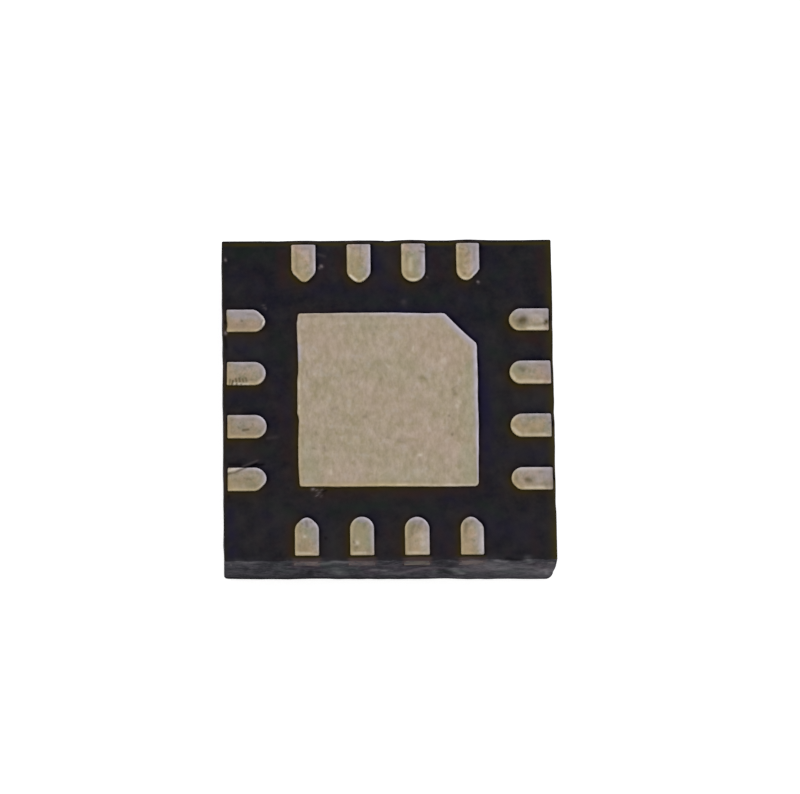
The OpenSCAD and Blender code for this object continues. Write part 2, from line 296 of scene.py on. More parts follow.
# Faint dents and light flecks on the pad, by their place in the package
PAD_STAINS = [
    (-145, 765, -125, 750, 24, 45), (-98, 677, 14, 50), (-120, 618, -100, 612, 18, 35),
    (-780, 650, -750, 640, 18, 40), (-360, 250, -290, 265, 22, 35),
    (-222, -163, -205, -155, 20, 50), (-500, -85, -480, -78, 17, 35), (80, -388, 140, -398, 17, 45),
    (600, 80, 610, 50, 20, 50), (630, 120, 600, 100, 10, 40), (557, -160, 13, 50),
    (580, -335, 16, 65), (-690, -460, -660, -470, 12, 40), (-585, -450, -575, -480, 17, 35),
    (300, 200, 340, 190, 20, 25), (345, -160, 12, 30), (-660, -300, -640, -340, 12, 35),
    (-50, 200, -80, 160, 14, 25), (-20, -360, 20, -370, 10, 30), (-740, 270, -740, 210, 14, 35),
    (-600, -720, 12, 35), (420, 620, 445, 610, 10, 30), (-440, 700, -420, 650, 12, 30),
]
PAD_BURRS = [
    (-812, 160, -810, 100, 12, 50), (-810, -60, -810, -120, 12, 40), (518, 364, 30, 30),
    (-137, -170, 12, 35), (-68, -200, 12, 30), (-283, -60, 14, 25), (655, -10, 630, -70, 20, 20),
    (270, -526, 295, -529, 14, 30), (240, 520, 235, 460, 10, 25), (-20, 340, 10, 300, 10, 25),
    (-520, -560, -525, -700, 12, 20),
]
# Sheen on the pad, above zero for cool: along its cut corner, its left edge and its right edge
PAD_SHEEN = [
    (540, 790, 790, 540, 45, 80), (-810, 500, -810, 380, 30, 90), (810, 450, 820, -750, 20, 90),
]
# Hue of the pad's patches, above zero for pinkish, below it for greenish
PAD_HUES = [
    (-700, 620, -500, 500, 150, 50), (350, 550, 600, 400, 160, 70), (-150, 0, 200, -100, 200, 40),
    (300, -350, 550, -400, 150, 60), (-500, -720, -300, -700, 100, 50),
    (-100, 300, 150, 250, 150, -20), (-750, -450, -700, -750, 80, -60),
    (720, -500, 760, -750, 80, -80), (760, 300, 770, -300, 70, -60),
    (-300, 750, -100, 700, 80, -40), (0, -740, 300, -720, 80, -40),
]
# Light specks on the mould's face, by their place in the package
MOULD_SPECKS = [
    (-592, 1266, 14, 100), (-610, 1250, 12, 50), (842, 1110, 12, 90), (161, 923, 24, 12),
    (375, 1160, 10, 30), (-1483, 1331, 14, 80), (-690, -837, 13, 100), (-636, -874, 12, 50),
    (-655, -848, 10, 60), (-612, -846, 10, 40), (-655, -898, 10, 60), (-615, -905, 9, 40),
    (-1488, 637, 16, 90), (-1130, 900, -1105, 860, 8, 25), (-1100, -360, -1010, -345, 10, 12),
    (-1325, -622, -1190, -568, 9, 20), (-620, 1380, -560, 1360, 12, 12),
]
# Dark scratches and hollows there
MOULD_SCRATCHES = [
    (-1340, -652, -1200, -600, 16, 120), (-1200, -612, -1140, -605, 14, 100),
    (-1460, -600, -1350, -610, 16, 70), (-600, -860, -570, -850, 12, 80), (-638, -884, 10, 80),
    (-590, -890, 10, 60), (-580, -1297, 13, 90), (-618, -1235, 10, 60),
    (-1350, 1380, -1100, 1100, 250, 10), (-1470, -900, 20, 60), (-1495, 740, 25, 90),
    (-1500, 600, -1490, 500, 20, 70),
]
# Patches of colour there
NAVY_PATCHES = [
    (-1300, 1170, -980, 980, 120, 40), (-90, 1350, -60, 1210, 50, 70),
    (-710, 1050, -70, 1000, 80, 50), (-20, 1090, 160, 990, 60, 80),
    (-1400, 530, -1210, 500, 70, 90), (-1400, 30, -1170, 10, 60, 60),
    (-990, 170, -900, -300, 60, 50), (900, 110, 900, -590, 60, 100),
    (-1450, -1050, -1430, -1420, 60, 90), (-1140, -1050, -1050, -1240, 70, 40),
    (950, -1200, 1220, -1250, 120, 60), (990, 1250, 1170, 1060, 100, 30),
    (670, 1020, 850, 780, 60, 50), (1030, -500, 1420, -500, 50, 60),
    (540, -940, 770, -1060, 50, 50), (500, -1200, 500, -1400, 80, 50),
]
GREEN_PATCHES = [
    (-1370, 1410, -1070, 1380, 70, 100), (-430, 1000, -70, 920, 50, 50),
    (0, 1230, 20, 1190, 30, 60), (250, 970, 480, 950, 60, 80), (800, 870, 1070, 700, 80, 60),
    (-1030, 640, -940, 410, 70, 60), (-1220, 460, -1120, 430, 40, 80),
    (-1200, -20, -1130, -60, 40, 60), (-1200, -490, -1040, -460, 50, 90),
    (910, 470, 1070, 400, 60, 80), (990, -50, 1100, -290, 60, 90), (990, 1160, 1270, 1300, 80, 60),
    (-1090, -980, -860, -1070, 50, 80), (-500, -1050, -50, -990, 60, 80),
    (220, -1030, 450, -1060, 50, 70), (840, -990, 1000, -1090, 50, 80),
    (-530, -1240, -510, -1430, 50, 50), (1240, 20, 1430, 40, 50, 50),
]
MAROON_PATCHES = [
    (-960, 1380, -940, 1090, 50, 100), (-450, 1380, -420, 1210, 40, 90),
    (-560, 1310, -550, 1160, 50, 50), (50, 1400, 70, 1160, 50, 90), (440, 1350, 510, 1180, 60, 70),
    (1410, 1390, 1420, 1080, 50, 100), (-200, 1080, -70, 1100, 40, 40),
    (-1400, 610, -1170, 620, 30, 70), (-990, -20, -910, -680, 70, 50),
    (-1400, -420, -1220, -530, 50, 70), (1210, 610, 1460, 510, 50, 100),
    (1240, 100, 1450, 70, 40, 100), (-610, -910, -90, -880, 50, 60), (40, -890, 680, -870, 40, 80),
    (1290, -1250, 1310, -1440, 50, 70), (-910, -1190, -900, -1420, 40, 80),
    (-30, -1240, 60, -1430, 50, 60), (450, -1250, 540, -1430, 50, 60),
    (1130, 1300, 1170, 1110, 40, 30),
]
GREY_PATCHES = [
    (-1400, -1200, 1400, -1200, 250, 70), (1200, 30, 1450, 20, 110, 140),
    (1150, -500, 1450, -500, 110, 130), (-1400, -470, -1200, -470, 100, 80),
    (-1400, 500, -1200, 500, 120, 180), (-1400, -1300, -1000, -1100, 200, 90),
    (0, 1200, 0, 1420, 110, 120), (960, 600, 960, -600, 110, 100),
    (-500, -1200, -500, -1420, 110, 120),
]
# Marks on the sawn front wall, along it and up it; beyond the mould's top they run on over the edge
WALL_SMEARS = [
    (-1470, 660, -1230, 690, 50, 35), (-1370, 700, -1260, 670, 45, 70),
    (-600, 600, -480, 660, 50, 55), (-500, 680, -390, 660, 45, 90), (-490, 420, -440, 220, 55, 50),
    (-140, 360, -30, 340, 45, 75), (200, 330, 300, 420, 45, 55), (300, 420, 420, 440, 35, 60),
    (380, 440, 430, 300, 40, 45), (0, 220, 130, 250, 60, 35), (600, 360, 660, 240, 55, 90),
    (740, 700, 770, 580, 40, 65), (700, 350, 850, 350, 130, 45), (900, 500, 1040, 400, 200, 60),
    (970, 690, 1040, 660, 35, 95), (1060, 360, 1420, 320, 200, 60), (1250, 745, 1280, 600, 35, 55),
    (1430, 360, 1455, 180, 30, 100),
]
# Painted shade in hollows of the sawn front wall, along it and up it
WALL_HOLLOW_SHADE = [
    (1070, 735, 1180, 700, 36, 75), (140, 560, 320, 500, 30, 90), (460, 620, 560, 520, 70, 50),
    (470, 350, 550, 250, 55, 60), (-800, 560, -700, 480, 40, 50), (-720, 300, -720, 200, 30, 60),
    (-640, 280, -590, 250, 30, 60), (-920, 580, 30, 60), (1300, 560, 25, 80), (1400, 450, 25, 60),
]
# Hue of the front wall's smears: above zero for mauve, below it for green
WALL_HUES = [
    (-1000, 600, -930, 300, 80, -50), (-850, 500, -660, 450, 80, 80),
    (-600, 600, -400, 300, 120, -70), (-370, 450, -260, 350, 80, -70),
    (-230, 420, -130, 250, 70, 80), (0, 500, 120, 450, 80, 60), (170, 350, 420, 400, 100, 80),
    (470, 300, 660, 300, 80, -70), (700, 500, 850, 350, 120, 50), (1060, 300, 1140, 250, 60, -80),
    (1260, 650, 50, -50), (1330, 550, 1420, 400, 80, 70),
]
# How far each side's cut copper ends are smeared over the mould
SMEAR = (0.40, 0.90, 0.40, 0.30)


# Noise and fading

def random_table(seed):
    """A square of random values from 0 to 1, always the same for one seed."""
    return np.random.default_rng(seed).random((96, 96))


def noise(x, y, seed):
    """Smooth noise from 0 to 1: random values on a lattice of unit steps, with an S-curve between
    them."""
    table = random_table(seed)
    size = len(table)
    i, j = np.floor(x).astype(int), np.floor(y).astype(int)
    u, v = x - i, y - j
    u, v = u * u * (3 - 2 * u), v * v * (3 - 2 * v)
    i, j, next_i, next_j = i % size, j % size, (i + 1) % size, (j + 1) % size
    low = table[i, j] * (1 - u) + table[next_i, j] * u
    high = table[i, next_j] * (1 - u) + table[next_i, next_j] * u
    return low * (1 - v) + high * v


def rough(x, y, step, seed, octaves=3):
    """Noise about zero, from -1 to 1: each octave has half the step and half the height of the
    last."""
    total = 0
    weight = 0
    for k in range(octaves):
        total = total + noise(x / step * 2**k, y / step * 2**k, seed + k) * 0.5**k
        weight += 0.5**k
    return 2 * total / weight - 1


def smooth(low, high, value):
    """An S-curve that is 0 up to the first value and 1 from the second one on."""
    t = np.clip((value - low) / (high - low), 0, 1)
    return t * t * (3 - 2 * t)


def bell(distance, width):
    """1 at no distance, fading with the square of the distance over the width."""
    return np.exp(-((distance / width) ** 2))


def strokes(x, y, marks):
    """What a list of marks does at each point: each mark's strength, fading as bell does with the
    distance from its stroke over its width. The strongest mark at a point counts."""
    total = np.zeros_like(x)
    for *places, width, strength in marks:
        places = np.array(places) / PER_MM
        start, along = places[:2], places[-2:] - places[:2]
        t = ((x - start[0]) * along[0] + (y - start[1]) * along[1]) / max(along @ along, 1e-9)
        t = np.clip(t, 0, 1)
        gap = np.hypot(x - start[0] - t * along[0], y - start[1] - t * along[1])
        value = strength / PER_ONE * bell(gap, width / PER_MM)
        total = np.where(np.abs(value) > np.abs(total), value, total)
    return total


# Outlines and grids of points

def turned(points, side):
    """Points of a lead's own frame, turned by quarter turns to the given side of the package."""
    c, s = ((1, 0), (0, -1), (-1, 0), (0, 1))[side]
    out = np.array(points, float)
    x, y = out[..., 0].copy(), out[..., 1].copy()
    out[..., 0] = c * x - s * y
    out[..., 1] = s * x + c * y
    return out


def run(start, end, steps):
    """Points from one corner to the next, without the last one."""
    t = np.arange(steps)[:, None] / steps
    return np.array(start) * (1 - t) + np.array(end) * t


def closed(points):
    """A ring of points with its first one again at its end."""
    return np.concatenate([points, points[:1]])


def four_sides(points):
    """One side's run of points turned to each side in turn, as a closed ring."""
    return closed(np.concatenate([turned(points, side) for side in WAY_ROUND]))


def at_height(ring, z):
    """A ring seen from above, with one height for all its points or one for each."""
    return np.column_stack([ring, np.broadcast_to(z, len(ring))])


def far_out(x, y):
    """How far out from the middle towards the nearest wall each point lies."""
    return np.maximum(np.abs(x), np.abs(y))


def corner_pull(u, v):
    """How points are drawn onto a rounded corner, as a share of their own parts u and v past its
    start: the larger part over their length, less one, and nothing unless both are past it."""
    at_corner = (u > 0) & (v > 0)
    return np.where(at_corner, np.maximum(u, v) / np.maximum(np.hypot(u, v), 1e-9), 1) - 1


def end_share(angle, cuts):
    """Share of its full radius that a lead's round inner end has at an angle. Each cut takes a
    straight slice off its quarter: at 1 the slice runs along the whole quarter's chord."""
    middle = np.where(angle < math.pi, 3 * math.pi / 4, 5 * math.pi / 4)
    cut = np.where(angle < math.pi, cuts[0], cuts[1])
    return np.minimum(1, (1 - cut * (1 - math.cos(math.pi / 4))) / np.cos(angle - middle))


def lead_outline(inner, outer, half, cuts, steps):
    """A lead seen from above, as a ring of four runs of points: the straight outer end, one side
    with the first eighth of the round inner end, a quarter of that end, and the other side. The
    inner end is sliced as end_share tells, and that is averaged over a few turns to round its
    corners."""
    straight = outer - inner - half
    eighth = half * math.pi / 4
    share = np.arange(steps) / steps
    along = share * (straight + eighth)
    back_along = (steps - np.arange(steps)) / steps * (straight + eighth)
    angle = np.concatenate([
        math.pi / 2 + np.maximum(along - straight, 0) / half,
        3 * math.pi / 4 + share * math.pi / 2,
        3 * math.pi / 2 - np.maximum(back_along - straight, 0) / half,
    ])
    radius = half * np.mean([
        end_share(np.clip(angle + turn, math.pi / 2, 3 * math.pi / 2), cuts) for turn in END_TURNS
    ], axis=0)
    arc = np.stack([inner + half + radius * np.cos(angle), radius * np.sin(angle)], axis=1)
    first, last = slice(0, steps), slice(2 * steps, None)
    for part, aside, reached in ((first, half, along), (last, -half, back_along)):
        side = np.stack([outer - np.minimum(reached, straight), np.full(steps, aside)], axis=1)
        arc[part] = np.where((reached > straight)[:, None], arc[part], side)
    ring = np.concatenate([run((outer, -half), (outer, half), steps), arc])
    u = ring[:, 0] - (outer - LAND_CORNER_R)
    v = np.abs(ring[:, 1]) - (half - LAND_CORNER_R)
    pull = corner_pull(u, v)
    ring[:, 0] += u * pull
    ring[:, 1] += np.sign(ring[:, 1]) * v * pull
    return closed(ring)


def resampled(corners, steps):
    """Evenly spaced points along a chain of corners, without the last one."""
    corners = np.array(corners, float)
    length = np.concatenate([[0], np.cumsum(np.hypot(*np.diff(corners, axis=0).T))])
    at = np.arange(steps) / steps * length[-1]
    return np.stack([np.interp(at, length, corners[:, k]) for k in (0, 1)], axis=1)


def corner_turn(half, r, first, last):
    """Points of a rounded corner at (half, half), from the first angle to the last, in degrees."""
    angle = np.radians(np.linspace(first, last, 7))
    return np.stack([half - r + r * np.cos(angle), half - r + r * np.sin(angle)], axis=1)


def pad_outline(grown, steps):
    """The die pad seen from above, as a ring of four runs, each from the middle of one corner to
    the middle of the next. The back right corner is cut at 45 degrees. Each edge lies further in
    where PAD_INSETS says so, and waves a little along its own normal."""
    half = PAD_HALF + grown
    cut = PAD_CUT + grown * (2 - math.sqrt(2))
    soft = 0.02
    into_cut = np.array([
        [half, half - cut - soft],
        [half - soft * 0.3, half - cut + soft * 0.6],
        [half - cut / 2, half - cut / 2],
    ])
    runs = []
    for side in WAY_ROUND:
        if side == 3:
            start = turned(into_cut[::-1, ::-1], 1)
        else:
            start = turned(corner_turn(half, PAD_CORNER_R[side], 45, 90), 1)
        end = into_cut if side == 0 else corner_turn(half, PAD_CORNER_R[side - 1], 0, 45)
        runs.append(turned(resampled(np.concatenate([start, end]), steps), side))
    ring = np.concatenate(runs)
    x, y = ring.T.copy()
    right, front, left, back = (
        np.interp(along, *(np.array(insets) / PER_MM).T)
        for along, insets in zip((y, x, y, x), PAD_INSETS)
    )
    wavy = 0.0024 * rough(x + y, x - y, 0.16, 41, 4)
    near_x, near_y = smooth(0.3, 0.75, np.abs(x) / half), smooth(0.3, 0.75, np.abs(y) / half)
    ring[:, 0] -= np.sign(x) * (np.where(x > 0, right, left) + wavy) * near_x
    ring[:, 1] -= np.sign(y) * (np.where(y > 0, back, front) + wavy) * near_y
    return closed(ring)


def tie_outline(grown, steps):
    """The half-etched plate under the pad with its four tie bars, ordered as pad_outline is: each
    run starts at a tie bar's tip, comes in along the bar and its taper, follows the plate's edge
    and goes out along the next bar. A bar has points at its corners only, and the others lie
    evenly along the plate's edge."""
    half = PAD_HALF + grown
    diagonal = math.sqrt(2)
    tip = (WALL + COPPER_PROUD) * diagonal
    root = half * diagonal - TIE_TAPER / 2
    runs = []
    for side in WAY_ROUND:
        lines = []
        for place in (-1, 1):
            is_cut = (side, place) in ((0, 1), (3, -1))
            cut = (PAD_CUT + grown * (2 - diagonal)) if is_cut else 0
            plate = (2 * half - cut) / diagonal
            bar = [
                (tip, 0), (tip - TIE_HALF, TIE_HALF), (root + TIE_TAPER, TIE_HALF),
                (root, TIE_ROOT_HALF),
            ]
            if is_cut:
                bar += [(plate, TIE_ROOT_HALF), (plate, half * diagonal - plate)]
            else:
                bar += [(root - 0.02, TIE_ROOT_HALF)]
                bar += [(half * diagonal - TIE_ROOT_HALF, TIE_ROOT_HALF)]
            a, b = np.array(bar).T
            lines.append(np.stack([(a + b) / diagonal, place * (a - b) / diagonal], axis=1))
        start, end = lines[0], lines[1][::-1]
        middle = resampled([start[-1], end[0]], steps - len(start) - len(end) + 2)
        runs.append(turned(np.concatenate([start[:-1], middle, end[:-1]]), side))
    return closed(np.concatenate(runs))


# Sawn walls and worn edges, the same for every piece that reaches them

def wall_inset(side, along, z):
    """How far a wall lies inside the largest size: what WALL_INSETS gives for the place along it,
    and short ripples of the blade. The front wall leans from its top's inset to its foot's."""
    seed = {"right": 11, "front": 21, "left": 31, "back": 51}[side]
    first, last, values = WALL_INSETS[side]
    inset = np.interp(along, np.linspace(first, last, len(values)), values) * MM
    if side == "front":
        inset = FRONT_TOP_INSET + (inset - FRONT_TOP_INSET) * (1 - z / MOULD_TOP)
    ripples = 0.0010 * rough(along, z * 0.7, 0.2, seed)
    ripples = ripples + 0.0006 * rough(along * 2, z * 9, 0.2, seed + 5)
    return np.maximum(inset + ripples, COPPER_PROUD)


def edge_radius(x, y):
    """Radius of the mould's top edge: small and uneven, a little larger where noise breaks it, most
    of all towards the front right, and much larger at EDGE_CHIPS."""
    even = 0.007 + 0.004 * rough(x, y, 0.12, 61)
    chips = smooth(0.45, 0.95, rough(x, y, 0.09, 71)) * 0.014
    broken = 0.03 * strokes(x, y, EDGE_CHIPS)
    return np.clip(even + chips * smooth(-0.4, 1.2, x - y), 0.003, 0.013) + broken


def weathered(points):
    """Takes points of the package's ideal block to the worn one. Plan corners are pulled onto their
    radius by scaling them with their larger part over their length. Near the top and bottom edges
    a point's outward and upward parts are scaled to the edge's radius. Then each wall moves in by
    its inset, which fades out over INSET_FADE towards the middle, and the two worn tips are
    rounded."""
    x, y, z = points[..., 0], points[..., 1], points[..., 2]
    worn = CORNER_R["front right"] + WORN_FOOT_R * smooth(0.5, 0.02, z)
    corner = np.where(y > 0, CORNER_R["back"], np.where(x > 0, worn, CORNER_R["front left"]))
    u = np.maximum(np.abs(x) - (WALL - corner), 0)
    v = np.maximum(np.abs(y) - (WALL - corner), 0)
    pull = corner_pull(u, v)
    new_x = x + np.sign(x) * u * pull
    new_y = y + np.sign(y) * v * pull
    new_z = z.copy()
    length = np.maximum(np.hypot(u, v), 1e-9)
    out_x, out_y = np.sign(x) * u / length, np.sign(y) * v / length
    depth = WALL - far_out(x, y)
    top_r = edge_radius(x, y)
    foot_r = np.full_like(top_r, FOOT_EDGE_R)
    for r, under, way in ((top_r, MOULD_TOP - z, 1), (foot_r, z, -1)):
        o, w = np.maximum(r - depth, 0), np.maximum(r - under, 0)
        near = (o > 0) & (w > 0) & (under > -1e-6)
        stretch = np.where(near, r / np.maximum(np.hypot(o, w), 1e-9), 1)
        new_x = new_x + out_x * o * (stretch - 1)
        new_y = new_y + out_y * o * (stretch - 1)
        new_z = new_z + way * w * (stretch - 1)
    near_wall = WALL - INSET_FADE
    new_x = new_x - wall_inset("right", y, z) * smooth(near_wall, WALL, x)
    new_x = new_x + wall_inset("left", y, z) * smooth(near_wall, WALL, -x)
    new_y = new_y - wall_inset("back", x, z) * smooth(near_wall, WALL, y)
    new_y = new_y + wall_inset("front", x, z) * smooth(near_wall, WALL, -y)
    placed = np.stack([new_x, new_y, new_z], axis=-1)
    for way, reach in TIPS.items():
        placed = tip_rounded(placed, way, reach)
    return placed


def tip_rounded(points, way, reach):
    """Rounds the marked face's front corner on the side that way gives. The ball that rounds it has
    its middle at one depth from all three faces, found so that it crosses each edge at the given
    reach from the corner; points beyond it on the corner's side are pulled onto it."""
    depth = (2 * reach + math.sqrt(12 * TIP_R**2 - 8 * reach**2)) / 6
    inset_x, inset_y = TIP_INSETS[way]
    corner = np.array([way * (WALL - inset_x), inset_y - WALL, 0])
    outward = np.array([way, -1, -1])
    middle = corner - outward * depth
    offset = points - middle
    length = np.linalg.norm(offset, axis=-1, keepdims=True)
    beyond = (offset * outward >= 0).all(axis=-1, keepdims=True) & (length > TIP_R)
    return np.where(beyond, middle + offset * TIP_R / np.maximum(length, 1e-9), points)


# Meshes

def grid_triangles(rows, columns, first):
    """Two triangles for each cell of a grid of points, facing along columns times rows."""
    index = first + np.arange(rows * columns).reshape(rows, columns)
    a, b, c, d = index[:-1, :-1], index[:-1, 1:], index[1:, 1:], index[1:, :-1]
    both = np.stack([np.stack([a, b, c], axis=-1), np.stack([a, c, d], axis=-1)])
    return both.reshape(-1, 3)


def piece_of(name, patches, nodes, material):
    """One closed surface from grids of points. Points of neighbouring grids that lie within WELD of
    each other become one, and triangles that this leaves without area are dropped. Each patch is a
    grid of points with the values that its material reads at them."""
    points = np.concatenate([patch["points"].reshape(-1, 3) for patch in patches])
    triangles = []
    first = 0
    for patch in patches:
        rows, columns = patch["points"].shape[:2]
        triangles.append(grid_triangles(rows, columns, first))
        first += rows * columns
    triangles = np.concatenate(triangles)
    keys = np.floor(points / WELD + WELD_SHIFT).astype(np.int64)
    _, kept, same = np.unique(keys, axis=0, return_index=True, return_inverse=True)
    triangles = same.reshape(-1)[triangles]
    a, b, c = triangles.T
    triangles = triangles[(a != b) & (b != c) & (c != a)]
    mesh = bpy.data.meshes.new(name)
    mesh.vertices.add(len(kept))
    mesh.vertices.foreach_set("co", (points[kept] * MM).ravel())
    mesh.loops.add(triangles.size)
    mesh.loops.foreach_set("vertex_index", triangles.ravel().astype(np.int32))
    mesh.polygons.add(len(triangles))
    mesh.polygons.foreach_set("loop_start", np.arange(0, triangles.size, 3, dtype=np.int32))
    mesh.update(calc_edges=True)
    mesh.polygons.foreach_set("use_smooth", np.ones(len(triangles), bool))
    for key in patches[0]["values"]:
        values = np.concatenate([patch["values"][key].ravel() for patch in patches])
        layer = mesh.attributes.new(key, "FLOAT", "POINT")
        layer.data.foreach_set("value", values[kept].astype(np.float32))
    mesh.set_sharp_from_angle(angle=SHARP_ANGLE)
    mesh.materials.append(material)
    piece = bpy.data.objects.new(name, mesh)
    bpy.context.scene.collection.objects.link(piece)
    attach(piece, "root")
    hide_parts(*nodes)
    return piece


# Leads

def lead_place(n):
    """The side that lead n is on, and how far aside its middle lies there."""
    side, place = divmod(n - 1, LEADS_PER_SIDE)
    return side, ((LEADS_PER_SIDE - 1) / 2 - place) * PITCH


def spine_of(outline, start, end):
    """For each point of an outline, the nearest one between start and end on the outline's axis."""
    return np.stack([np.clip(outline[:, 0], start, end), np.zeros(len(outline))], axis=1)


def towards_middle(outline, start, end, share):
    """A ring inside an outline: each point lies the given share of the way out from its spine."""
    spine = spine_of(outline, start, end)
    return spine + (outline - spine) * share


def ledge_inside(ledge, share):
    """A ring inside a lead's ledge."""
    return towards_middle(ledge, LEDGE_IN + LEDGE_HALF, WALL - LEDGE_HALF, share)


def facing_of(outline, start, end):
    """Unit way out from an outline's spine to each of its points."""
    out = outline - spine_of(outline, start, end)
    return out / np.linalg.norm(out, axis=1, keepdims=True)


def rim_profile():
    """The plating's rounded rim: how far in from the edge each of its rings lies, and how high."""
    return [
        (RIM_R * (1 - math.cos(angle)), FRAME_TOP - RIM_R + RIM_R * math.sin(angle) - RIM_SAG)
        for angle in RIM_ANGLES
    ]


def land_height(gap, x, y, seed):
    """Height of a plated land against the frame's top, at a distance in from its edge: a crown just
    inside the rim, a shallow dish beyond, and the plating's own unevenness."""
    dish = 0.005 * smooth(0.012, 0.045, gap)
    uneven = 0.0016 * rough(x, y, 0.05, seed) + 0.0006 * rough(x, y, 0.016, seed + 9)
    return -RIM_SAG - dish + uneven * smooth(0.0, 0.02, gap)


def plated(x, y, gap, way, reach, seed):
    """What the tin's material reads at points of a land or the pad: a painted highlight along its
    uneven rim, a painted shade line inside it where the dish sinks, and how far painted light tints
    it cool, where it faces the back right, or warm. The painted highlight is wider on the cool
    side, and fades with the square of the distance from the edge over its width; the painted tint
    fades over reach."""
    # Painted light: points facing the back right get a cool tint, and those facing the front left a
    # warm one
    cool = (way[..., 0] + way[..., 1]) * 0.8
    inside = np.maximum(gap, 0)
    width = 0.020 + 0.004 * np.clip(cool, -1, 1) + 0.008 * rough(x, y, 0.06, seed + 31)
    rim = bell(inside, width) * (0.70 + 0.75 * rough(x, y, 0.06, seed + 41))
    # A painted shade line inside the rim, where the dish sinks
    line = bell(gap - 0.046, 0.014) * (0.15 + 0.34 * rough(x, y, 0.06, seed + 51))
    lean = np.clip(1 - inside / reach, 0, 1) * cool
    rim, line = np.maximum(rim, 0), np.maximum(line, 0)
    return np.where(gap >= 0, rim, 0.5), np.where(gap >= 0, line, 0), np.clip(lean, -1, 1)


def ledge_cuts(n):
    """How lead n's ledge is cut: an end lead has a cut on the side of the package's corner."""
    cuts = {0: (END_LEDGE_CUT, 0.0), LEADS_PER_SIDE - 1: (0.0, END_LEDGE_CUT)}
    return cuts.get((n - 1) % LEADS_PER_SIDE, (0.0, 0.0))


def end_cuts(n):
    """How lead n's land is cut at its inner end."""
    return END_CUT.get(n, ledge_cuts(n))


def land_rings(n, steps):
    """Lead n's ledge, foot and land as rings in its own frame, and the ends of the land's axis."""
    cuts = end_cuts(n)
    half, _, inner, outer = LAND_SHAPES[n]
    wall = WALL + COPPER_PROUD
    ledge = lead_outline(LEDGE_IN, wall, LEDGE_HALF, ledge_cuts(n), steps)
    foot = lead_outline(inner, wall, half, cuts, steps)
    land = lead_outline(inner, outer, half, cuts, steps)
    return ledge, foot, land, (inner + half, outer - half)


def lead_piece(n, tin):
    """Lead n as one closed surface. Rings of its outline are carried along a profile: from the
    middle of the underside out to the ledge, up its edge, in to the land's side, up to the step
    behind the land's outer end, over the rounded rim and in to the middle of the land."""
    steps, rings_in = 44, 20
    side, middle = lead_place(n)
    half, aside, inner, outer = LAND_SHAPES[n]
    ledge, foot, land, (start, end) = land_rings(n, steps)
    step = lead_outline(inner, WALL - 0.004, half, end_cuts(n), steps)
    levels = [(ledge_inside(ledge, share), FRAME_BOTTOM) for share in (0, 0.3, 0.6, 0.85)]
    levels += [
        (ledge, FRAME_BOTTOM), (ledge, LEDGE_TOP - 0.03), (ledge, LEDGE_TOP), (foot, LEDGE_TOP),
        (foot, CUT_END_TOP), (step, CUT_END_TOP), (land, CUT_END_TOP), (land, SIDE_TOP),
    ]
    grid = [at_height(ring, z) for ring, z in levels]
    gaps = [-1.0] * len(levels)
    for gap, z in rim_profile():
        rim_share = 1 - gap / half
        grid.append(at_height(towards_middle(land, start, end, rim_share), z))
        gaps.append(gap)
    for t in np.linspace(0, 1, rings_in)[1:]:
        share = rim_share * (1 - t ** 1.25)
        ring = towards_middle(land, start, end, share)
        gap = (1 - share) * half
        grid.append(at_height(ring, FRAME_TOP + land_height(gap, *ring.T, 100 + 7 * n)))
        gaps.append(gap)
    points = np.array(grid)
    x, y, z = points[..., 0], points[..., 1], points[..., 2]
    gap = np.broadcast_to(np.array(gaps)[:, None], x.shape)
    upper = smooth(MOULD_TOP, FRAME_TOP - RIM_R, z)
    facing = facing_of(land, start, end)
    rim, line, lean = plated(x, y, gap, turned(facing, side), half, 400 + 3 * n)
    # The painted rim highlight: at a land's outer end only each side's share of it, and weaker
    # along its sides than at its inner end
    rim = rim * (1 - (1 - END_RIM_HIGHLIGHT[side]) * smooth(0.6, 0.9, facing[:, 0]))
    rim = rim * (0.72 + 0.28 * smooth(0.1, 0.6, -facing[:, 0]))
    stain = strokes(x, y, LAND_STAINS.get(n, [])) * upper
    burr = strokes(x, y, LAND_BURRS.get(n, [])) * upper
    points[..., 2] = np.minimum(z - 0.0055 * stain + 0.0018 * burr, FRAME_TOP)
    mean, outwards, sideways = LAND_HUE[n]
    hue = mean + outwards * (x - (start + end) / 2) / (end - start) + sideways * y / half
    hue = hue + 1.5 * strokes(x, y, LAND_HUES.get(n, []))
    hue = np.where(x > SAWN_FROM, END_HUE.get(n, 0.0), hue)
    values = {
        "rim": rim * upper,
        # Dents and spots, with the painted shade line inside the rim
        "stain": np.maximum(stain, line * upper),
        "burr": burr,
        # Painted cool and warm light, with the land's own painted patches and sheen of it
        "lean": np.clip(lean + strokes(x, y, LAND_LIGHT_TINTS.get(n, [])), -1, 1),
        "hue": hue,
        "shade": np.full_like(x, LAND_SHADE[side]),
        "bare": (x > SAWN_FROM) * (z < SUNK_BELOW) * 1.0,
        # Painted shadow on the sunk step behind the land's outer end
        "recess_shadow": (x > outer - 0.001) * (x < SAWN_FROM) * (z < SUNK_BELOW) * 1.0,
    }
    points[..., 1] += middle + aside
    patch = {"points": weathered(turned(points, side)), "values": values}
    name = f"lead_{n:02d}"
    return piece_of(name + "_plated", [patch], [name], tin)


# Die pad

def pad_relief(x, y):
    """Unevenness of the pad's plating: soft pools, shallow upright strokes and fine pitting."""
    pools = 0.0012 * rough(x, y, 0.13, 201)
    upright = 0.0006 * rough(x * 2, y, 0.09, 207)
    pits = 0.0018 * smooth(0.45, 0.9, rough(x, y, 0.045, 213, 2))
    return pools + upright - pits


def pad_height(gap, x, y):
    """Height of the pad at a distance in from its edge."""
    relief = pad_relief(x, y) * smooth(0, 0.03, gap)
    return FRAME_TOP + land_height(gap, x, y, 197) + relief


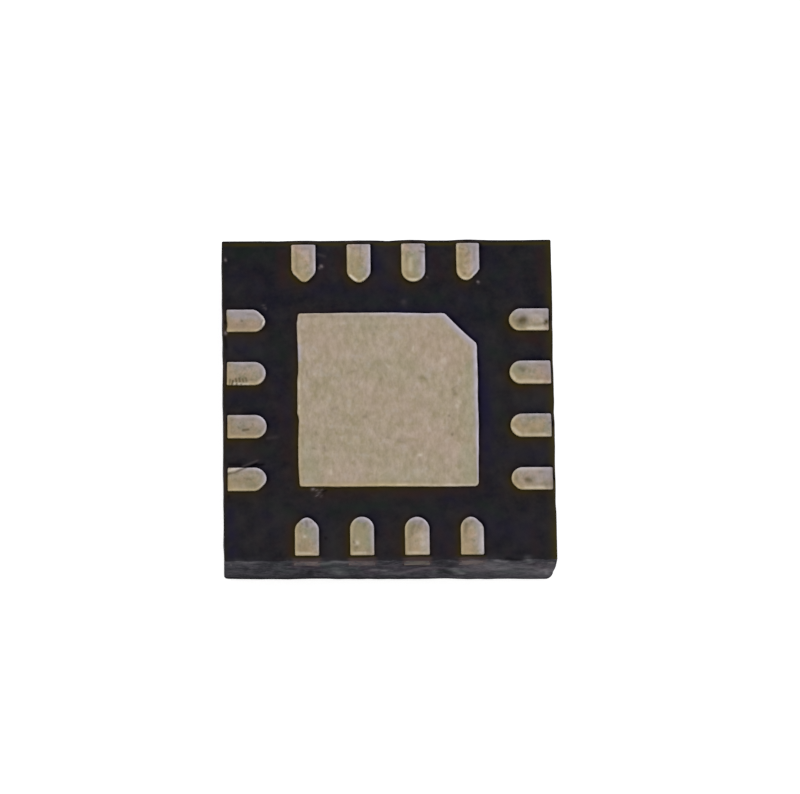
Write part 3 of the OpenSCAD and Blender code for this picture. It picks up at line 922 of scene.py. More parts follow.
def pad_piece(tin):
    """The die paddle as one closed surface: rings from a square in the middle of the underside out
    to the ledge and its tie bars, up and in to the pad's side, over its rim and in to a square in
    the middle of the pad, and a plain grid over each of the two squares."""
    steps, rings_in = 140, 28
    pad, plate = pad_outline(0, steps), tie_outline(LEDGE_REACH, steps)
    t = np.linspace(-SQUARE_HALF, SQUARE_HALF, steps + 1)
    square = four_sides(np.stack([np.full(steps, SQUARE_HALF), t[:-1]], axis=1))
    inward = square - pad
    inward /= np.linalg.norm(inward, axis=1, keepdims=True)
    levels = (
        (square, FRAME_BOTTOM), (pad, FRAME_BOTTOM), (plate, FRAME_BOTTOM),
        (plate, LEDGE_TOP), (pad, LEDGE_TOP), (pad, SIDE_TOP),
    )
    rings = [at_height(ring, z) for ring, z in levels]
    gaps = [np.full(len(pad), -1.0)] * len(levels)
    for gap, z in rim_profile():
        rim_ring = pad + inward * gap
        rings.append(at_height(rim_ring, z))
        gaps.append(np.full(len(pad), gap))
    for share in np.linspace(0, 1, rings_in)[1:] ** 1.2:
        ring = rim_ring + (square - rim_ring) * share
        gap = np.linalg.norm(ring - pad, axis=1)
        rings.append(at_height(ring, pad_height(gap, *ring.T)))
        gaps.append(gap)
    across, up = np.meshgrid(t, t)
    inside = np.full_like(across, 0.2)
    top = np.stack([across, up, pad_height(inside, across, up)], axis=-1)
    underside = np.stack([across.T, up.T, np.full_like(up, FRAME_BOTTOM)], axis=-1)
    no_way = np.zeros(2)
    grids = (
        (np.array(rings), np.array(gaps), -inward),
        (top, inside, no_way),
        (underside, inside, no_way),
    )
    patches = []
    for grid, gap, way in grids:
        x, y, z = grid[..., 0], grid[..., 1], grid[..., 2]
        upper = smooth(MOULD_TOP, FRAME_TOP - RIM_R, z)
        rim, line, lean = plated(x, y, gap, way, 0.07, 480)
        # The painted rim highlight and the painted cool and warm light are weaker along the pad's
        # left edge
        not_left = 1 - 0.6 * np.clip(-way[..., 0], 0, 1)
        broken = np.clip(0.75 + 0.9 * rough(x, y, 0.035, 487), 0, 1.3)
        stain = strokes(x, y, PAD_STAINS) * broken * upper
        grid[..., 2] = np.minimum(z - 0.003 * stain, FRAME_TOP)
        values = {
            "rim": rim * not_left * upper,
            # Dents and spots, with a fainter painted shade line inside the rim
            "stain": np.maximum(stain, 0.5 * line * upper),
            "burr": strokes(x, y, PAD_BURRS) * broken * upper,
            "lean": np.clip(lean * not_left + strokes(x, y, PAD_SHEEN), -1, 1),
            "hue": strokes(x, y, PAD_HUES),
            "shade": np.zeros_like(x),
            "bare": (far_out(x, y) > WALL - 0.1) * 1.0,
            "recess_shadow": np.zeros_like(x),
        }
        patches.append({"points": weathered(grid), "values": values})
    return piece_of("die_paddle_plated", patches, ["die_paddle"], tin)


# Mould

def graded():
    """Lattice places from the inner square out to the wall, closer together towards the wall."""
    t = np.linspace(0, 1, CELL + 1)
    return INNER + (WALL - INNER) * (1 - (1 - t) ** 1.6)


def side_places():
    """Lattice places all along one wall, from one upright corner to the other."""
    near = graded()
    middle = np.linspace(-INNER, INNER, 4 * CELL + 1)
    return np.concatenate([-near[::-1], middle[1:-1], near])


def face_relief(x, y):
    """Unevenness of the mould's face: long waves, small hollows between filler grains and specks
    that stand up from it. It fades out at the package's edge."""
    waves = 0.0022 * rough(x, y, 0.45, 301) + 0.0012 * rough(x, y, 0.12, 311)
    hollows = 0.002 * smooth(0.35, 0.9, rough(x, y, 0.05, 321, 2))
    specks = 0.004 * strokes(x, y, MOULD_SPECKS)
    return (waves - hollows + specks) * smooth(0.0, 0.03, WALL - far_out(x, y))


def ring_to_pocket(rows, border, outline, ledge, end_ring):
    """Grid of points from a cell's border in to a pocket's lip by the given number of rows, down
    its wall, out under the ledge and in over its floor. A groove runs round the lip, deepest at
    it, and fades with the square of the distance from it; the border itself stays level. A second
    grid holds the way out from the lip to each point, and how far that is."""
    groove, groove_depth = 0.014, 0.007
    way = (border - outline) / np.linalg.norm(border - outline, axis=1, keepdims=True)
    grid, away = [], []
    for t in 1 - (1 - np.linspace(0, 1, rows + 1)) ** 1.7:
        ring = border + (outline - border) * t
        gap = np.linalg.norm(ring - outline, axis=1)
        grid.append(at_height(ring, MOULD_TOP - groove_depth * bell(gap, groove) * (t > 0)))
        away.append(at_height(way, gap))
    below = (
        (outline, LEDGE_TOP), (ledge, LEDGE_TOP), (ledge, FRAME_BOTTOM), (end_ring, FRAME_BOTTOM),
    )
    grid += [at_height(ring, z) for ring, z in below]
    away += [at_height(way, 0.0)] * len(below)
    return np.array(grid), np.array(away)


def lead_cell(n):
    """The mould's face round lead n, with the pocket that the lead sits in."""
    side, middle = lead_place(n)
    ledge, _, outline, _ = land_rings(n, CELL)
    floor_end = ledge_inside(ledge, 0)
    ledge[:, 0] = np.minimum(ledge[:, 0], WALL - PULL_BACK / 2)
    for ring in (ledge, outline, floor_end):
        ring[:, 1] += LAND_SHAPES[n][1]
    out, across = graded(), np.linspace(-PITCH / 2, PITCH / 2, CELL + 1)
    border = np.concatenate([
        np.stack([np.full(CELL, WALL), across[:-1]], axis=1),
        np.stack([out[:0:-1], np.full(CELL, PITCH / 2)], axis=1),
        np.stack([np.full(CELL, INNER), across[:0:-1]], axis=1),
        np.stack([out[:-1], np.full(CELL, -PITCH / 2)], axis=1),
    ])
    grid, away = ring_to_pocket(12, closed(border), outline, ledge, floor_end)
    grid[..., 1] += middle
    return turned(grid, side), turned(away, side)


def middle_cell():
    """The mould's face between the leads and the pad, with the pocket that the paddle sits in and,
    under it, the room for the film and the die, whose outlines are the pocket's cut off at their
    boxes."""
    steps = 4 * CELL
    outline, ledge = pad_outline(0, steps), pad_outline(LEDGE_REACH, steps)
    t = np.linspace(-INNER, INNER, steps + 1)
    border = four_sides(np.stack([np.full(steps, INNER), t[:-1]], axis=1))
    film_low, film_high = box_of("die_attach")
    die_low, die_high = box_of("memory_die")
    film = np.clip(ledge, film_low[:2], film_high[:2])
    die = np.clip(ledge, die_low[:2], die_high[:2])
    grid, away = ring_to_pocket(16, border, outline, ledge, film)
    room = [
        at_height(ring, z) for ring, z in
        ((film, film_low[2]), (die, film_low[2]), (die, die_low[2]), (die * 0, die_low[2]))
    ]
    return np.concatenate([grid, room]), np.concatenate([away, away[-1:].repeat(len(room), axis=0)])


def marked_face():
    """The face with the round mark beside lead 1. Rings run from the mark's middle over its floor
    and its wall to its lip, and from there out to the package's edge along lines from that
    middle."""
    centre = np.array([WALL - MARK_INSET, WALL - MARK_INSET])
    places = side_places()
    border = four_sides(np.stack([np.full(len(places) - 1, WALL), places[:-1]], axis=1))
    way = (border - centre) / np.linalg.norm(border - centre, axis=1, keepdims=True)
    lip = centre + way * MARK_R
    floor = [(share, MARK_DEPTH) for share in (0, 0.35, 0.7, 0.94)] + [(0.985, MARK_DEPTH * 0.7)]
    grid = [at_height(centre + way * MARK_R * share, z) for share, z in floor]
    for t in 1 - (1 - np.linspace(0, 1, 26)) ** 1.6:
        grid.append(at_height(lip + (border - lip) * t, 0.0))
    return np.array(grid)


def beside_metal(x, y, away):
    """Fringes on the mould beside the metal: cool to its right and behind it, warm to its left and
    in front, with an olive line right at the metal there, and a painted shade along the groove
    round it. The fringes fade evenly with the distance over their own reach."""
    right, back, gap = away[..., 0], away[..., 1], away[..., 2]
    near = gap < NEAR_METAL
    uneven = 1 + 0.5 * rough(x, y, 0.12, 361)
    by_pad = smooth(1.00, 0.90, far_out(x, y))
    cool = 0.7 * np.clip(right, 0, 1) * np.exp(-gap / 0.080)
    cool = cool + 0.8 * np.clip(back, 0, 1) * np.exp(-gap / 0.030)
    cool = cool * (0.45 + 0.55 * by_pad) * (1 - 0.15 * smooth(0.3, -0.5, y) * by_pad)
    warm = np.clip(-right, 0, 1) * np.exp(-gap / 0.040)
    warm = warm + np.clip(-back, 0, 1) * np.exp(-gap / 0.050)
    line = np.clip(-right - back, 0, 1) * bell(gap, 0.028) * near
    # A painted shade along the groove round the metal, strongest behind it and to its right
    width = 0.027 + 0.010 * rough(x, y, 0.06, 367)
    inward = -(right * x + back * y) / np.maximum(np.hypot(x, y), 1e-9)
    side = np.maximum(0.38 + 0.62 * np.clip(right + back, 0, 1), 0.75 * np.clip(inward, 0, 1))
    groove = bell(gap, width) * near * side
    ragged = 1 + 0.6 * rough(x, y, 0.07, 365)
    return cool * uneven, warm * uneven, line * uneven, groove * ragged


def over_leads(along, reach):
    """1 over the width of each land along a side, fading out to the given reach from its middle."""
    aside = np.abs(along / PITCH - np.floor(along / PITCH) - 0.5) * PITCH
    return (1 - smooth(LAND_HALF, reach, aside)) * (np.abs(along) < INNER)


def copper_smear(x, y, z):
    """Copper smeared over the mould by the blade: over a lead's width, from just inside the wall's
    top edge over it and down the wall to well below the lead."""
    at_side = np.abs(x) > np.abs(y)
    along = np.where(at_side, y, x)
    start = WALL - np.where(at_side, 0.030, 0.036) + 0.014 * rough(along, along, 0.12, 355)
    out = smooth(0, 0.012, far_out(x, y) - start)
    side = np.where(at_side, np.where(x > 0, 0, 2), np.where(y > 0, 3, 1))
    uneven = 0.8 + 0.6 * rough(along * 2, z * 5, 0.3, 351)
    down = smooth(0.46, 0.62, z + 0.07 * rough(along, along, 0.1, 357))
    over_edge = 1 - 0.5 * smooth(MOULD_TOP - 0.02, MOULD_TOP, z)
    return over_leads(along, 0.150) * out * down * over_edge * uneven * np.array(SMEAR)[side]


def shadow_behind_ends(x, y):
    """The painted shadow of the sunk step: a dark strip on the mould's face past the outer ends of
    the front lands.
    """
    return over_leads(x, 0.135) * smooth(1.460, 1.472, -y) * (1 - smooth(1.488, 1.500, -y))


def rim_stain(x, y):
    """Olive stain along the package's rim: a wide band on the right, a line just inside the back
    edge and a faint one on the left."""
    right = 0.90 * bell(WALL - x, 0.060)
    back = 0.90 * bell(WALL - y - 0.038, 0.020)
    left = 0.3 * bell(WALL + x, 0.025)
    return np.maximum(np.maximum(right, back), left) * (0.85 + 0.5 * rough(x, y, 0.16, 341))


def rim_shadow(x, y):
    """The darker line at the very edge of the package's top: at the back, on the left, and on the
    right but for the front half."""
    back = 0.6 * bell(WALL - y, 0.018)
    left = 0.4 * bell(WALL + x, 0.030)
    right = 0.6 * bell(WALL - x, 0.016) * smooth(-0.6, 0.0, y)
    return np.maximum(np.maximum(back, left), right) * (0.8 + 0.5 * rough(x, y, 0.1, 345))


def patches_of(x, y, marks, seed):
    """Uneven patches on the mould's face: strokes that noise breaks up."""
    return strokes(x, y, marks) * (0.8 + 0.9 * rough(x, y, 0.09, seed))


def mould_cells():
    """The grids of the moulded body, each with the ways away from the metal beside it: the sixteen
    lead cells, the middle cell and four plain corner cells on top, four walls, and the marked
    face."""
    corner_x, corner_y = np.meshgrid(graded(), graded())
    corner = np.stack([corner_x, corner_y, np.full_like(corner_x, MOULD_TOP)], axis=-1)
    rise = MOULD_TOP * (0.5 - 0.5 * np.cos(np.linspace(0, math.pi, 33)))
    along, up = np.meshgrid(side_places(), rise)
    wall = np.stack([np.full_like(along, WALL), along, up], axis=-1)
    plain = [turned(grid, side) for grid in (corner, wall) for side in range(SIDES)]
    far_from_metal = np.array([0.0, 0.0, 2 * NEAR_METAL])
    cells = [lead_cell(n) for n in LEADS] + [middle_cell()]
    return cells + [(grid, far_from_metal) for grid in plain + [marked_face()]]


def mould_piece(compound):
    """The moulded body as one closed surface from the grids of mould_cells. Its face has its relief
    and the marks of the photograph; those of the front wall's top run on over the edge, as climb
    goes up the wall and on inwards."""
    patches = []
    for grid, away in mould_cells():
        x, y, z = grid[..., 0], grid[..., 1], grid[..., 2]
        on_top = z > MOULD_TOP - 0.02
        at_wall = far_out(x, y) > WALL - 1e-6
        relief = face_relief(x, y) * np.where(on_top & ~at_wall, 1, 0)
        bottom = 0.0015 * (1 + rough(x, y, 0.1, 331)) * (z < 1e-9) * ~at_wall
        placed = weathered(grid)
        placed[..., 2] += relief + bottom
        cool, warm, line, groove = beside_metal(x, y, away)
        climb = z + WALL + y
        front = smooth(WALL - 0.10, WALL - 0.04, -y) * (on_top | at_wall)
        ragged = 0.75 + 0.6 * rough(x * 1.5, climb * 3, 0.3, 371)
        # A painted shade band along the walls' foot, strongest towards the left, and painted shade
        # in the front wall's hollows
        foot_width = 0.095 - 0.045 * smooth(-0.1, 0.6, x)
        foot = 0.95 * bell(z, foot_width) * (1 - 0.85 * smooth(0.0, 1.0, x))
        hollows = np.maximum(strokes(x, climb, WALL_HOLLOW_SHADE) * front, foot * at_wall)
        # Painted shade along the top's edge, in the groove round the metal and past the front
        # lands' ends
        shadows = np.maximum(np.maximum(rim_shadow(x, y), groove), 0.25 * shadow_behind_ends(x, y))
        top_marks = np.maximum(strokes(x, y, MOULD_SCRATCHES), shadows) * on_top
        brink = 0.13 * bell(WALL - 0.013 + y, 0.024) * (0.8 + 1.2 * rough(x, y, 0.1, 377))
        sawn = smooth(-0.02, 0.03, MOULD_TOP - z + 0.04 * rough(x + y, z, 0.1, 375))
        # Olive: the rim's stain and the warm line at the metal, with the painted shadow past the
        # front lands' ends
        olive = np.maximum(np.maximum(rim_stain(x, y), 0.8 * shadow_behind_ends(x, y)), 0.7 * line)
        values = {
            "sawn": np.where(at_wall, sawn, brink * on_top),
            "speck": strokes(x, y, MOULD_SPECKS) * on_top,
            "olive": olive * on_top,
            "cool": cool * on_top,
            "warm": warm * on_top,
            "navy": patches_of(x, y, NAVY_PATCHES, 381) * on_top,
            "green": patches_of(x, y, GREEN_PATCHES, 385) * on_top,
            "maroon": patches_of(x, y, MAROON_PATCHES, 389) * on_top,
            "grey": patches_of(x, y, GREY_PATCHES, 393) * on_top,
            "copper": copper_smear(x, y, z),
            "pale": strokes(x, climb, WALL_SMEARS) * ragged * front * np.where(at_wall, 1, 0.35),
            "wall_hue": strokes(x, climb, WALL_HUES) * front,
            # Dark scratches, with all the painted shade above
            "dark": np.maximum(hollows, top_marks * ~at_wall),
        }
        patches.append({"points": placed, "values": values})
    return piece_of("moulded_body_worn", patches, ["moulded_body"], compound)


# Node materials

def add(tree, kind, values=None, **settings):
    """A shader node with its settings and the values of its inputs."""
    node = tree.nodes.new(kind)
    for key, value in settings.items():
        setattr(node, key, value)
    for key, value in (values or {}).items():
        node.inputs[key].default_value = value
    return node


def join(tree, *pairs):
    """Links each output to its input."""
    for source, target in pairs:
        tree.links.new(source, target)


def linear(red, green, blue):
    """A colour written as it shows on screen, from 0 to 255, in the shader's linear values."""
    parts = np.array([red, green, blue]) / 255
    parts = np.where(parts <= 0.04045, parts / 12.92, ((parts + 0.055) / 1.055) ** 2.4)
    return (*[float(p) for p in parts], 1.0)


def group_of(name, inputs, outputs):
    """An empty shader group with the named sockets, and its two end nodes."""
    tree = bpy.data.node_groups.new(name, "ShaderNodeTree")
    for socket, kind, value in inputs:
        made = tree.interface.new_socket(socket, in_out="INPUT", socket_type=kind)
        if value is not None:
            made.default_value = value
    for socket, kind in outputs:
        tree.interface.new_socket(socket, in_out="OUTPUT", socket_type=kind)
    return tree, tree.nodes.new("NodeGroupInput"), tree.nodes.new("NodeGroupOutput")


def mottle_group():
    """Soft patches between two colours, with finer patches laid over them: the noise of each size
    is spread about its middle by its contrast, and the two are added."""
    tree, start, end = group_of(
        "mottle",
        [
            ("Place", "NodeSocketVector", None),
            ("First", "NodeSocketColor", (0.4, 0.4, 0.4, 1)),
            ("Second", "NodeSocketColor", (0.3, 0.3, 0.3, 1)),
            ("Patches", "NodeSocketFloat", 6.0),
            ("Flecks", "NodeSocketFloat", 30.0),
            ("Contrast", "NodeSocketFloat", 1.5),
        ],
        [("Color", "NodeSocketColor"), ("Value", "NodeSocketFloat")],
    )
    patches = add(tree, "ShaderNodeTexNoise", {"Detail": 3.0, "Roughness": 0.55})
    flecks = add(tree, "ShaderNodeTexNoise", {"Detail": 2.0, "Roughness": 0.6})
    both = add(tree, "ShaderNodeMath", {1: 0.45}, operation="MULTIPLY_ADD")
    centred = add(tree, "ShaderNodeMath", {1: 0.725}, operation="SUBTRACT")
    spread = add(tree, "ShaderNodeMath", {2: 0.5}, operation="MULTIPLY_ADD", use_clamp=True)
    mix = add(tree, "ShaderNodeMix", data_type="RGBA")
    join(
        tree,
        (start.outputs["Place"], patches.inputs["Vector"]),
        (start.outputs["Place"], flecks.inputs["Vector"]),
        (start.outputs["Patches"], patches.inputs["Scale"]),
        (start.outputs["Flecks"], flecks.inputs["Scale"]),
        (flecks.outputs["Fac"], both.inputs[0]),
        (patches.outputs["Fac"], both.inputs[2]),
        (both.outputs[0], centred.inputs[0]),
        (centred.outputs[0], spread.inputs[0]),
        (start.outputs["Contrast"], spread.inputs[1]),
        (spread.outputs[0], mix.inputs["Factor"]),
        (start.outputs["First"], mix.inputs[6]),
        (start.outputs["Second"], mix.inputs[7]),
        (mix.outputs[2], end.inputs["Color"]),
        (spread.outputs[0], end.inputs["Value"]),
    )
    return tree


def tint_group():
    """A colour laid over another where a mask is high: the mask times its strength is the share."""
    tree, start, end = group_of(
        "laid_over",
        [
            ("Color", "NodeSocketColor", (0.5, 0.5, 0.5, 1)),
            ("Over", "NodeSocketColor", (0.5, 0.5, 0.5, 1)),
            ("Mask", "NodeSocketFloat", 0.0),
            ("Strength", "NodeSocketFloat", 1.0),
        ],
        [("Color", "NodeSocketColor")],
    )
    share = add(tree, "ShaderNodeMath", operation="MULTIPLY", use_clamp=True)
    mix = add(tree, "ShaderNodeMix", data_type="RGBA")
    join(
        tree,
        (start.outputs["Mask"], share.inputs[0]),
        (start.outputs["Strength"], share.inputs[1]),
        (share.outputs[0], mix.inputs["Factor"]),
        (start.outputs["Color"], mix.inputs[6]),
        (start.outputs["Over"], mix.inputs[7]),
        (mix.outputs[2], end.inputs["Color"]),
    )
    return tree


def saw_group():
    """What a blade leaves on a wall: streaks of noise drawn out level and squeezed upright, and
    broader smears of the same kind, spread about their middle."""
    tree, start, end = group_of(
        "saw_streaks",
        [("Place", "NodeSocketVector", None), ("Streaks", "NodeSocketFloat", 1.2)],
        [("Streak", "NodeSocketFloat"), ("Smear", "NodeSocketFloat")],
    )
    drawn = add(tree, "ShaderNodeMapping", {"Scale": (6.0, 6.0, 10.0)})
    streak = add(tree, "ShaderNodeTexNoise", {"Detail": 4.0, "Roughness": 0.6})
    broad = add(tree, "ShaderNodeMapping", {"Location": (3.1, 1.7, 0.4), "Scale": (6.0, 6.0, 9.0)})
    smear = add(tree, "ShaderNodeTexNoise", {"Scale": 1.3, "Detail": 4.0, "Roughness": 0.65})
    smear_mask = add(
        tree, "ShaderNodeMapRange", {1: 0.42, 2: 0.62}, clamp=True,
        interpolation_type="SMOOTHSTEP")
    join(
        tree,
        (start.outputs["Place"], drawn.inputs["Vector"]),
        (start.outputs["Place"], broad.inputs["Vector"]),
        (drawn.outputs[0], streak.inputs["Vector"]),
        (start.outputs["Streaks"], streak.inputs["Scale"]),
        (broad.outputs[0], smear.inputs["Vector"]),
        (smear.outputs["Fac"], smear_mask.inputs[0]),
        (streak.outputs["Fac"], end.inputs["Streak"]),
        (smear_mask.outputs[0], end.inputs["Smear"]),
    )
    return tree


def blotch_group():
    """A mask of soft blotches: noise at a place moved by Shift, 0 below Low and 1 above High."""
    tree, start, end = group_of(
        "blotch",
        [
            ("Place", "NodeSocketVector", None),
            ("Shift", "NodeSocketVector", (0.0, 0.0, 0.0)),
            ("Scale", "NodeSocketFloat", 5.0),
            ("Low", "NodeSocketFloat", 0.50),
            ("High", "NodeSocketFloat", 0.72),
        ],
        [("Mask", "NodeSocketFloat")],
    )
    moved = add(tree, "ShaderNodeVectorMath", operation="ADD")
    blotch = add(tree, "ShaderNodeTexNoise", {"Detail": 2.5, "Roughness": 0.55})
    mask = add(tree, "ShaderNodeMapRange", clamp=True, interpolation_type="SMOOTHSTEP")
    join(
        tree,
        (start.outputs["Place"], moved.inputs[0]),
        (start.outputs["Shift"], moved.inputs[1]),
        (moved.outputs[0], blotch.inputs["Vector"]),
        (start.outputs["Scale"], blotch.inputs["Scale"]),
        (blotch.outputs["Fac"], mask.inputs[0]),
        (start.outputs["Low"], mask.inputs[1]),
        (start.outputs["High"], mask.inputs[2]),
        (mask.outputs[0], end.inputs["Mask"]),
    )
    return tree


def grain_group():
    """A fine grainy height: small noise with one octave of half its size laid over it."""
    tree, start, end = group_of(
        "grain",
        [("Place", "NodeSocketVector", None), ("Fine", "NodeSocketFloat", 90.0)],
        [("Height", "NodeSocketFloat")],
    )
    grains = add(tree, "ShaderNodeTexNoise", {"Detail": 2.0, "Roughness": 0.6})
    join(
        tree,
        (start.outputs["Place"], grains.inputs["Vector"]),
        (start.outputs["Fine"], grains.inputs["Scale"]),
        (grains.outputs["Fac"], end.inputs["Height"]),
    )
    return tree


GROUPS = {
    "mottle": mottle_group(), "over": tint_group(), "saw": saw_group(), "grain": grain_group(),
    "blotch": blotch_group(),
}


def place_group(tree, name, place=None, **values):
    """A group placed in a material, with its values and the place that it reads."""
    group = add(tree, "ShaderNodeGroup", values, node_tree=GROUPS[name])
    if place is not None:
        join(tree, (place, group.inputs["Place"]))
    return group


def new_material(name, **shader_values):
    """A material with a Principled shader, and its place on the piece in millimetres."""
    material = bpy.data.materials.new(name)
    material.use_nodes = True
    tree = material.node_tree
    shader = tree.nodes["Principled BSDF"]
    for key, value in shader_values.items():
        shader.inputs[key.replace("_", " ")].default_value = value
    place = add(tree, "ShaderNodeTexCoord")
    scaled = add(tree, "ShaderNodeVectorMath", {"Scale": 1 / MM}, operation="SCALE")
    join(tree, (place.outputs["Object"], scaled.inputs[0]))
    return material, tree, shader, scaled.outputs[0]


def linear_color(tree, red, green, blue):
    """A plain colour to lay others over, written as it shows on screen."""
    node = add(tree, "ShaderNodeRGB")
    node.outputs[0].default_value = linear(red, green, blue)
    return node.outputs[0]


def attribute(tree, name):
    """The value that a mesh keeps at its points under a name, from one node for each name."""
    node = tree.nodes.get(name)
    if node is None:
        node = add(tree, "ShaderNodeAttribute", name=name, attribute_name=name)
    return node.outputs["Fac"]


def mapped(tree, value, low, high, first=0.0, last=1.0):
    """A value that runs from first to last, mapped onto the range from low to high."""
    node = add(tree, "ShaderNodeMapRange", {1: first, 2: last, 3: low, 4: high})
    join(tree, (value, node.inputs[0]))
    return node.outputs[0]


def mixed(tree, share, first, second):
    """Two colours mixed: the first where the share is 0 and the second where it is 1."""
    mix = add(tree, "ShaderNodeMix", data_type="RGBA")
    join(tree, (share, mix.inputs["Factor"]), (first, mix.inputs[6]), (second, mix.inputs[7]))
    return mix.outputs[2]


def coated(tree, place, color, coats):
    """A colour with others laid over it, one after another. A coat gives its mask, its colour and
    its strength. The mask is the name of a value that the mesh keeps, another node's output, or
    the shift, scale, low and high limit of soft blotches. The colour is another node's output, or
    is written as it shows on screen, from 0 to 255."""
    for mask, over, strength in coats:
        if isinstance(mask, str):
            mask = attribute(tree, mask)
        elif isinstance(mask, tuple):
            shift, scale, low, high = mask
            blotches = place_group(
                tree, "blotch", place, Shift=(*shift, 0.0), Scale=scale, Low=low, High=high)
            mask = blotches.outputs["Mask"]
        group = place_group(tree, "over", Strength=strength)
        if isinstance(over, tuple):
            group.inputs["Over"].default_value = linear(*over)
        else:
            join(tree, (over, group.inputs["Over"]))
        join(tree, (color, group.inputs["Color"]), (mask, group.inputs["Mask"]))
        color = group.outputs["Color"]
    return color


def bump(tree, shader, height, distance, strength, after=None):
    """A Bump node of the given depth in millimetres on the shader, if need be after another one."""
    node = add(tree, "ShaderNodeBump", {"Distance": distance * MM, "Strength": strength})
    join(tree, (height, node.inputs["Height"]), (node.outputs[0], shader.inputs["Normal"]))
    if after is not None:
        join(tree, (after, node.inputs["Normal"]))
    return node.outputs[0]


def compound_material():
    """Black moulding compound: bluish black with navy, green and maroon blotches and fine grain,
    with cool and warm fringes beside the metal, olive along its rim, pale where specks sit, and
    greyer and smeared where the saw went through it. Dark scratches are laid on it, with painted
    shade along the top's edge, round the metal, in the front wall's hollows and along the walls'
    foot, and a dark olive painted shadow past the front lands' ends."""
    material, tree, shader, place = new_material("moulding_compound", Specular_IOR_Level=0.001)
    base = place_group(
        tree, "mottle", place, First=linear(28, 28, 34), Second=linear(48, 46, 48),
        Patches=7.0, Flecks=26.0, Contrast=2.0)
    saw = place_group(tree, "saw", place)
    smear, streak = saw.outputs["Smear"], saw.outputs["Streak"]
    face = coated(tree, place, base.outputs["Color"], [
        (((0.0, 0.0), 9.0, 0.50, 0.72), (33, 31, 46), 0.3),
        (((11.3, 3.7), 11.0, 0.50, 0.72), (34, 41, 38), 0.3),
        (((5.1, 17.9), 10.0, 0.50, 0.72), (49, 37, 42), 0.3),
        ("navy", (33, 30, 55), 0.68),
        ("green", (32, 43, 37), 0.66),
        ("maroon", (55, 37, 38), 0.56),
        ("grey", (54, 51, 52), 0.35),
        ("cool", (26, 22, 58), 0.75),
        ("warm", (60, 45, 16), 0.80),
        # Olive stain along the rim, and the olive painted shadow past the front lands' ends
        ("olive", (62, 55, 22), 0.95),
    ])
    cut = coated(tree, place, linear_color(tree, 50, 50, 55), [
        (smear, (74, 73, 79), 0.9),
        (streak, (88, 87, 93), 0.25),
        (((6.1, 2.2), 9.0, 0.52, 0.64), (92, 88, 96), 0.40),
        (((1.2, 8.8), 11.0, 0.54, 0.66), (46, 44, 52), 0.45),
        (((7.7, 4.1), 18.0, 0.54, 0.64), (104, 100, 106), 0.32),
        (((2.9, 6.4), 19.0, 0.54, 0.64), (42, 39, 46), 0.36),
        ("wall_hue", (80, 64, 78), 0.36),
        ("wall_hue", (60, 75, 70), -0.36),
    ])
    pale = coated(tree, place, linear_color(tree, 130, 128, 133), [
        ("wall_hue", (136, 120, 129), 0.7),
        ("wall_hue", (120, 131, 125), -0.7),
        (((3.3, 5.5), 12.0, 0.48, 0.60), (92, 90, 93), 0.55),
        (((0.9, 9.5), 17.0, 0.54, 0.66), (158, 154, 158), 0.40),
    ])
    sawn = attribute(tree, "sawn")
    color = coated(tree, place, mixed(tree, sawn, face, cut), [
        ("copper", (101, 82, 80), 0.85),
        ("pale", pale, 1.0),
        # Dark scratches, and painted shade along the top's edge, round the metal, past the front
        # lands' ends, in the front wall's hollows and along the walls' foot
        ("dark", (8, 6, 11), 0.92),
        ("speck", (150, 138, 140), 0.7),
    ])
    grain = place_group(tree, "grain", place, Fine=60.0)
    saw_height = add(tree, "ShaderNodeMath", operation="MULTIPLY")
    join(
        tree,
        (color, shader.inputs["Base Color"]),
        (mapped(tree, base.outputs["Value"], 0.5, 0.72), shader.inputs["Roughness"]),
        (streak, saw_height.inputs[0]), (sawn, saw_height.inputs[1]),
    )
    grained = bump(tree, shader, grain.outputs["Height"], 0.0035, 0.7)
    bump(tree, shader, saw_height.outputs[0], 0.010, 0.7, after=grained)
    return material


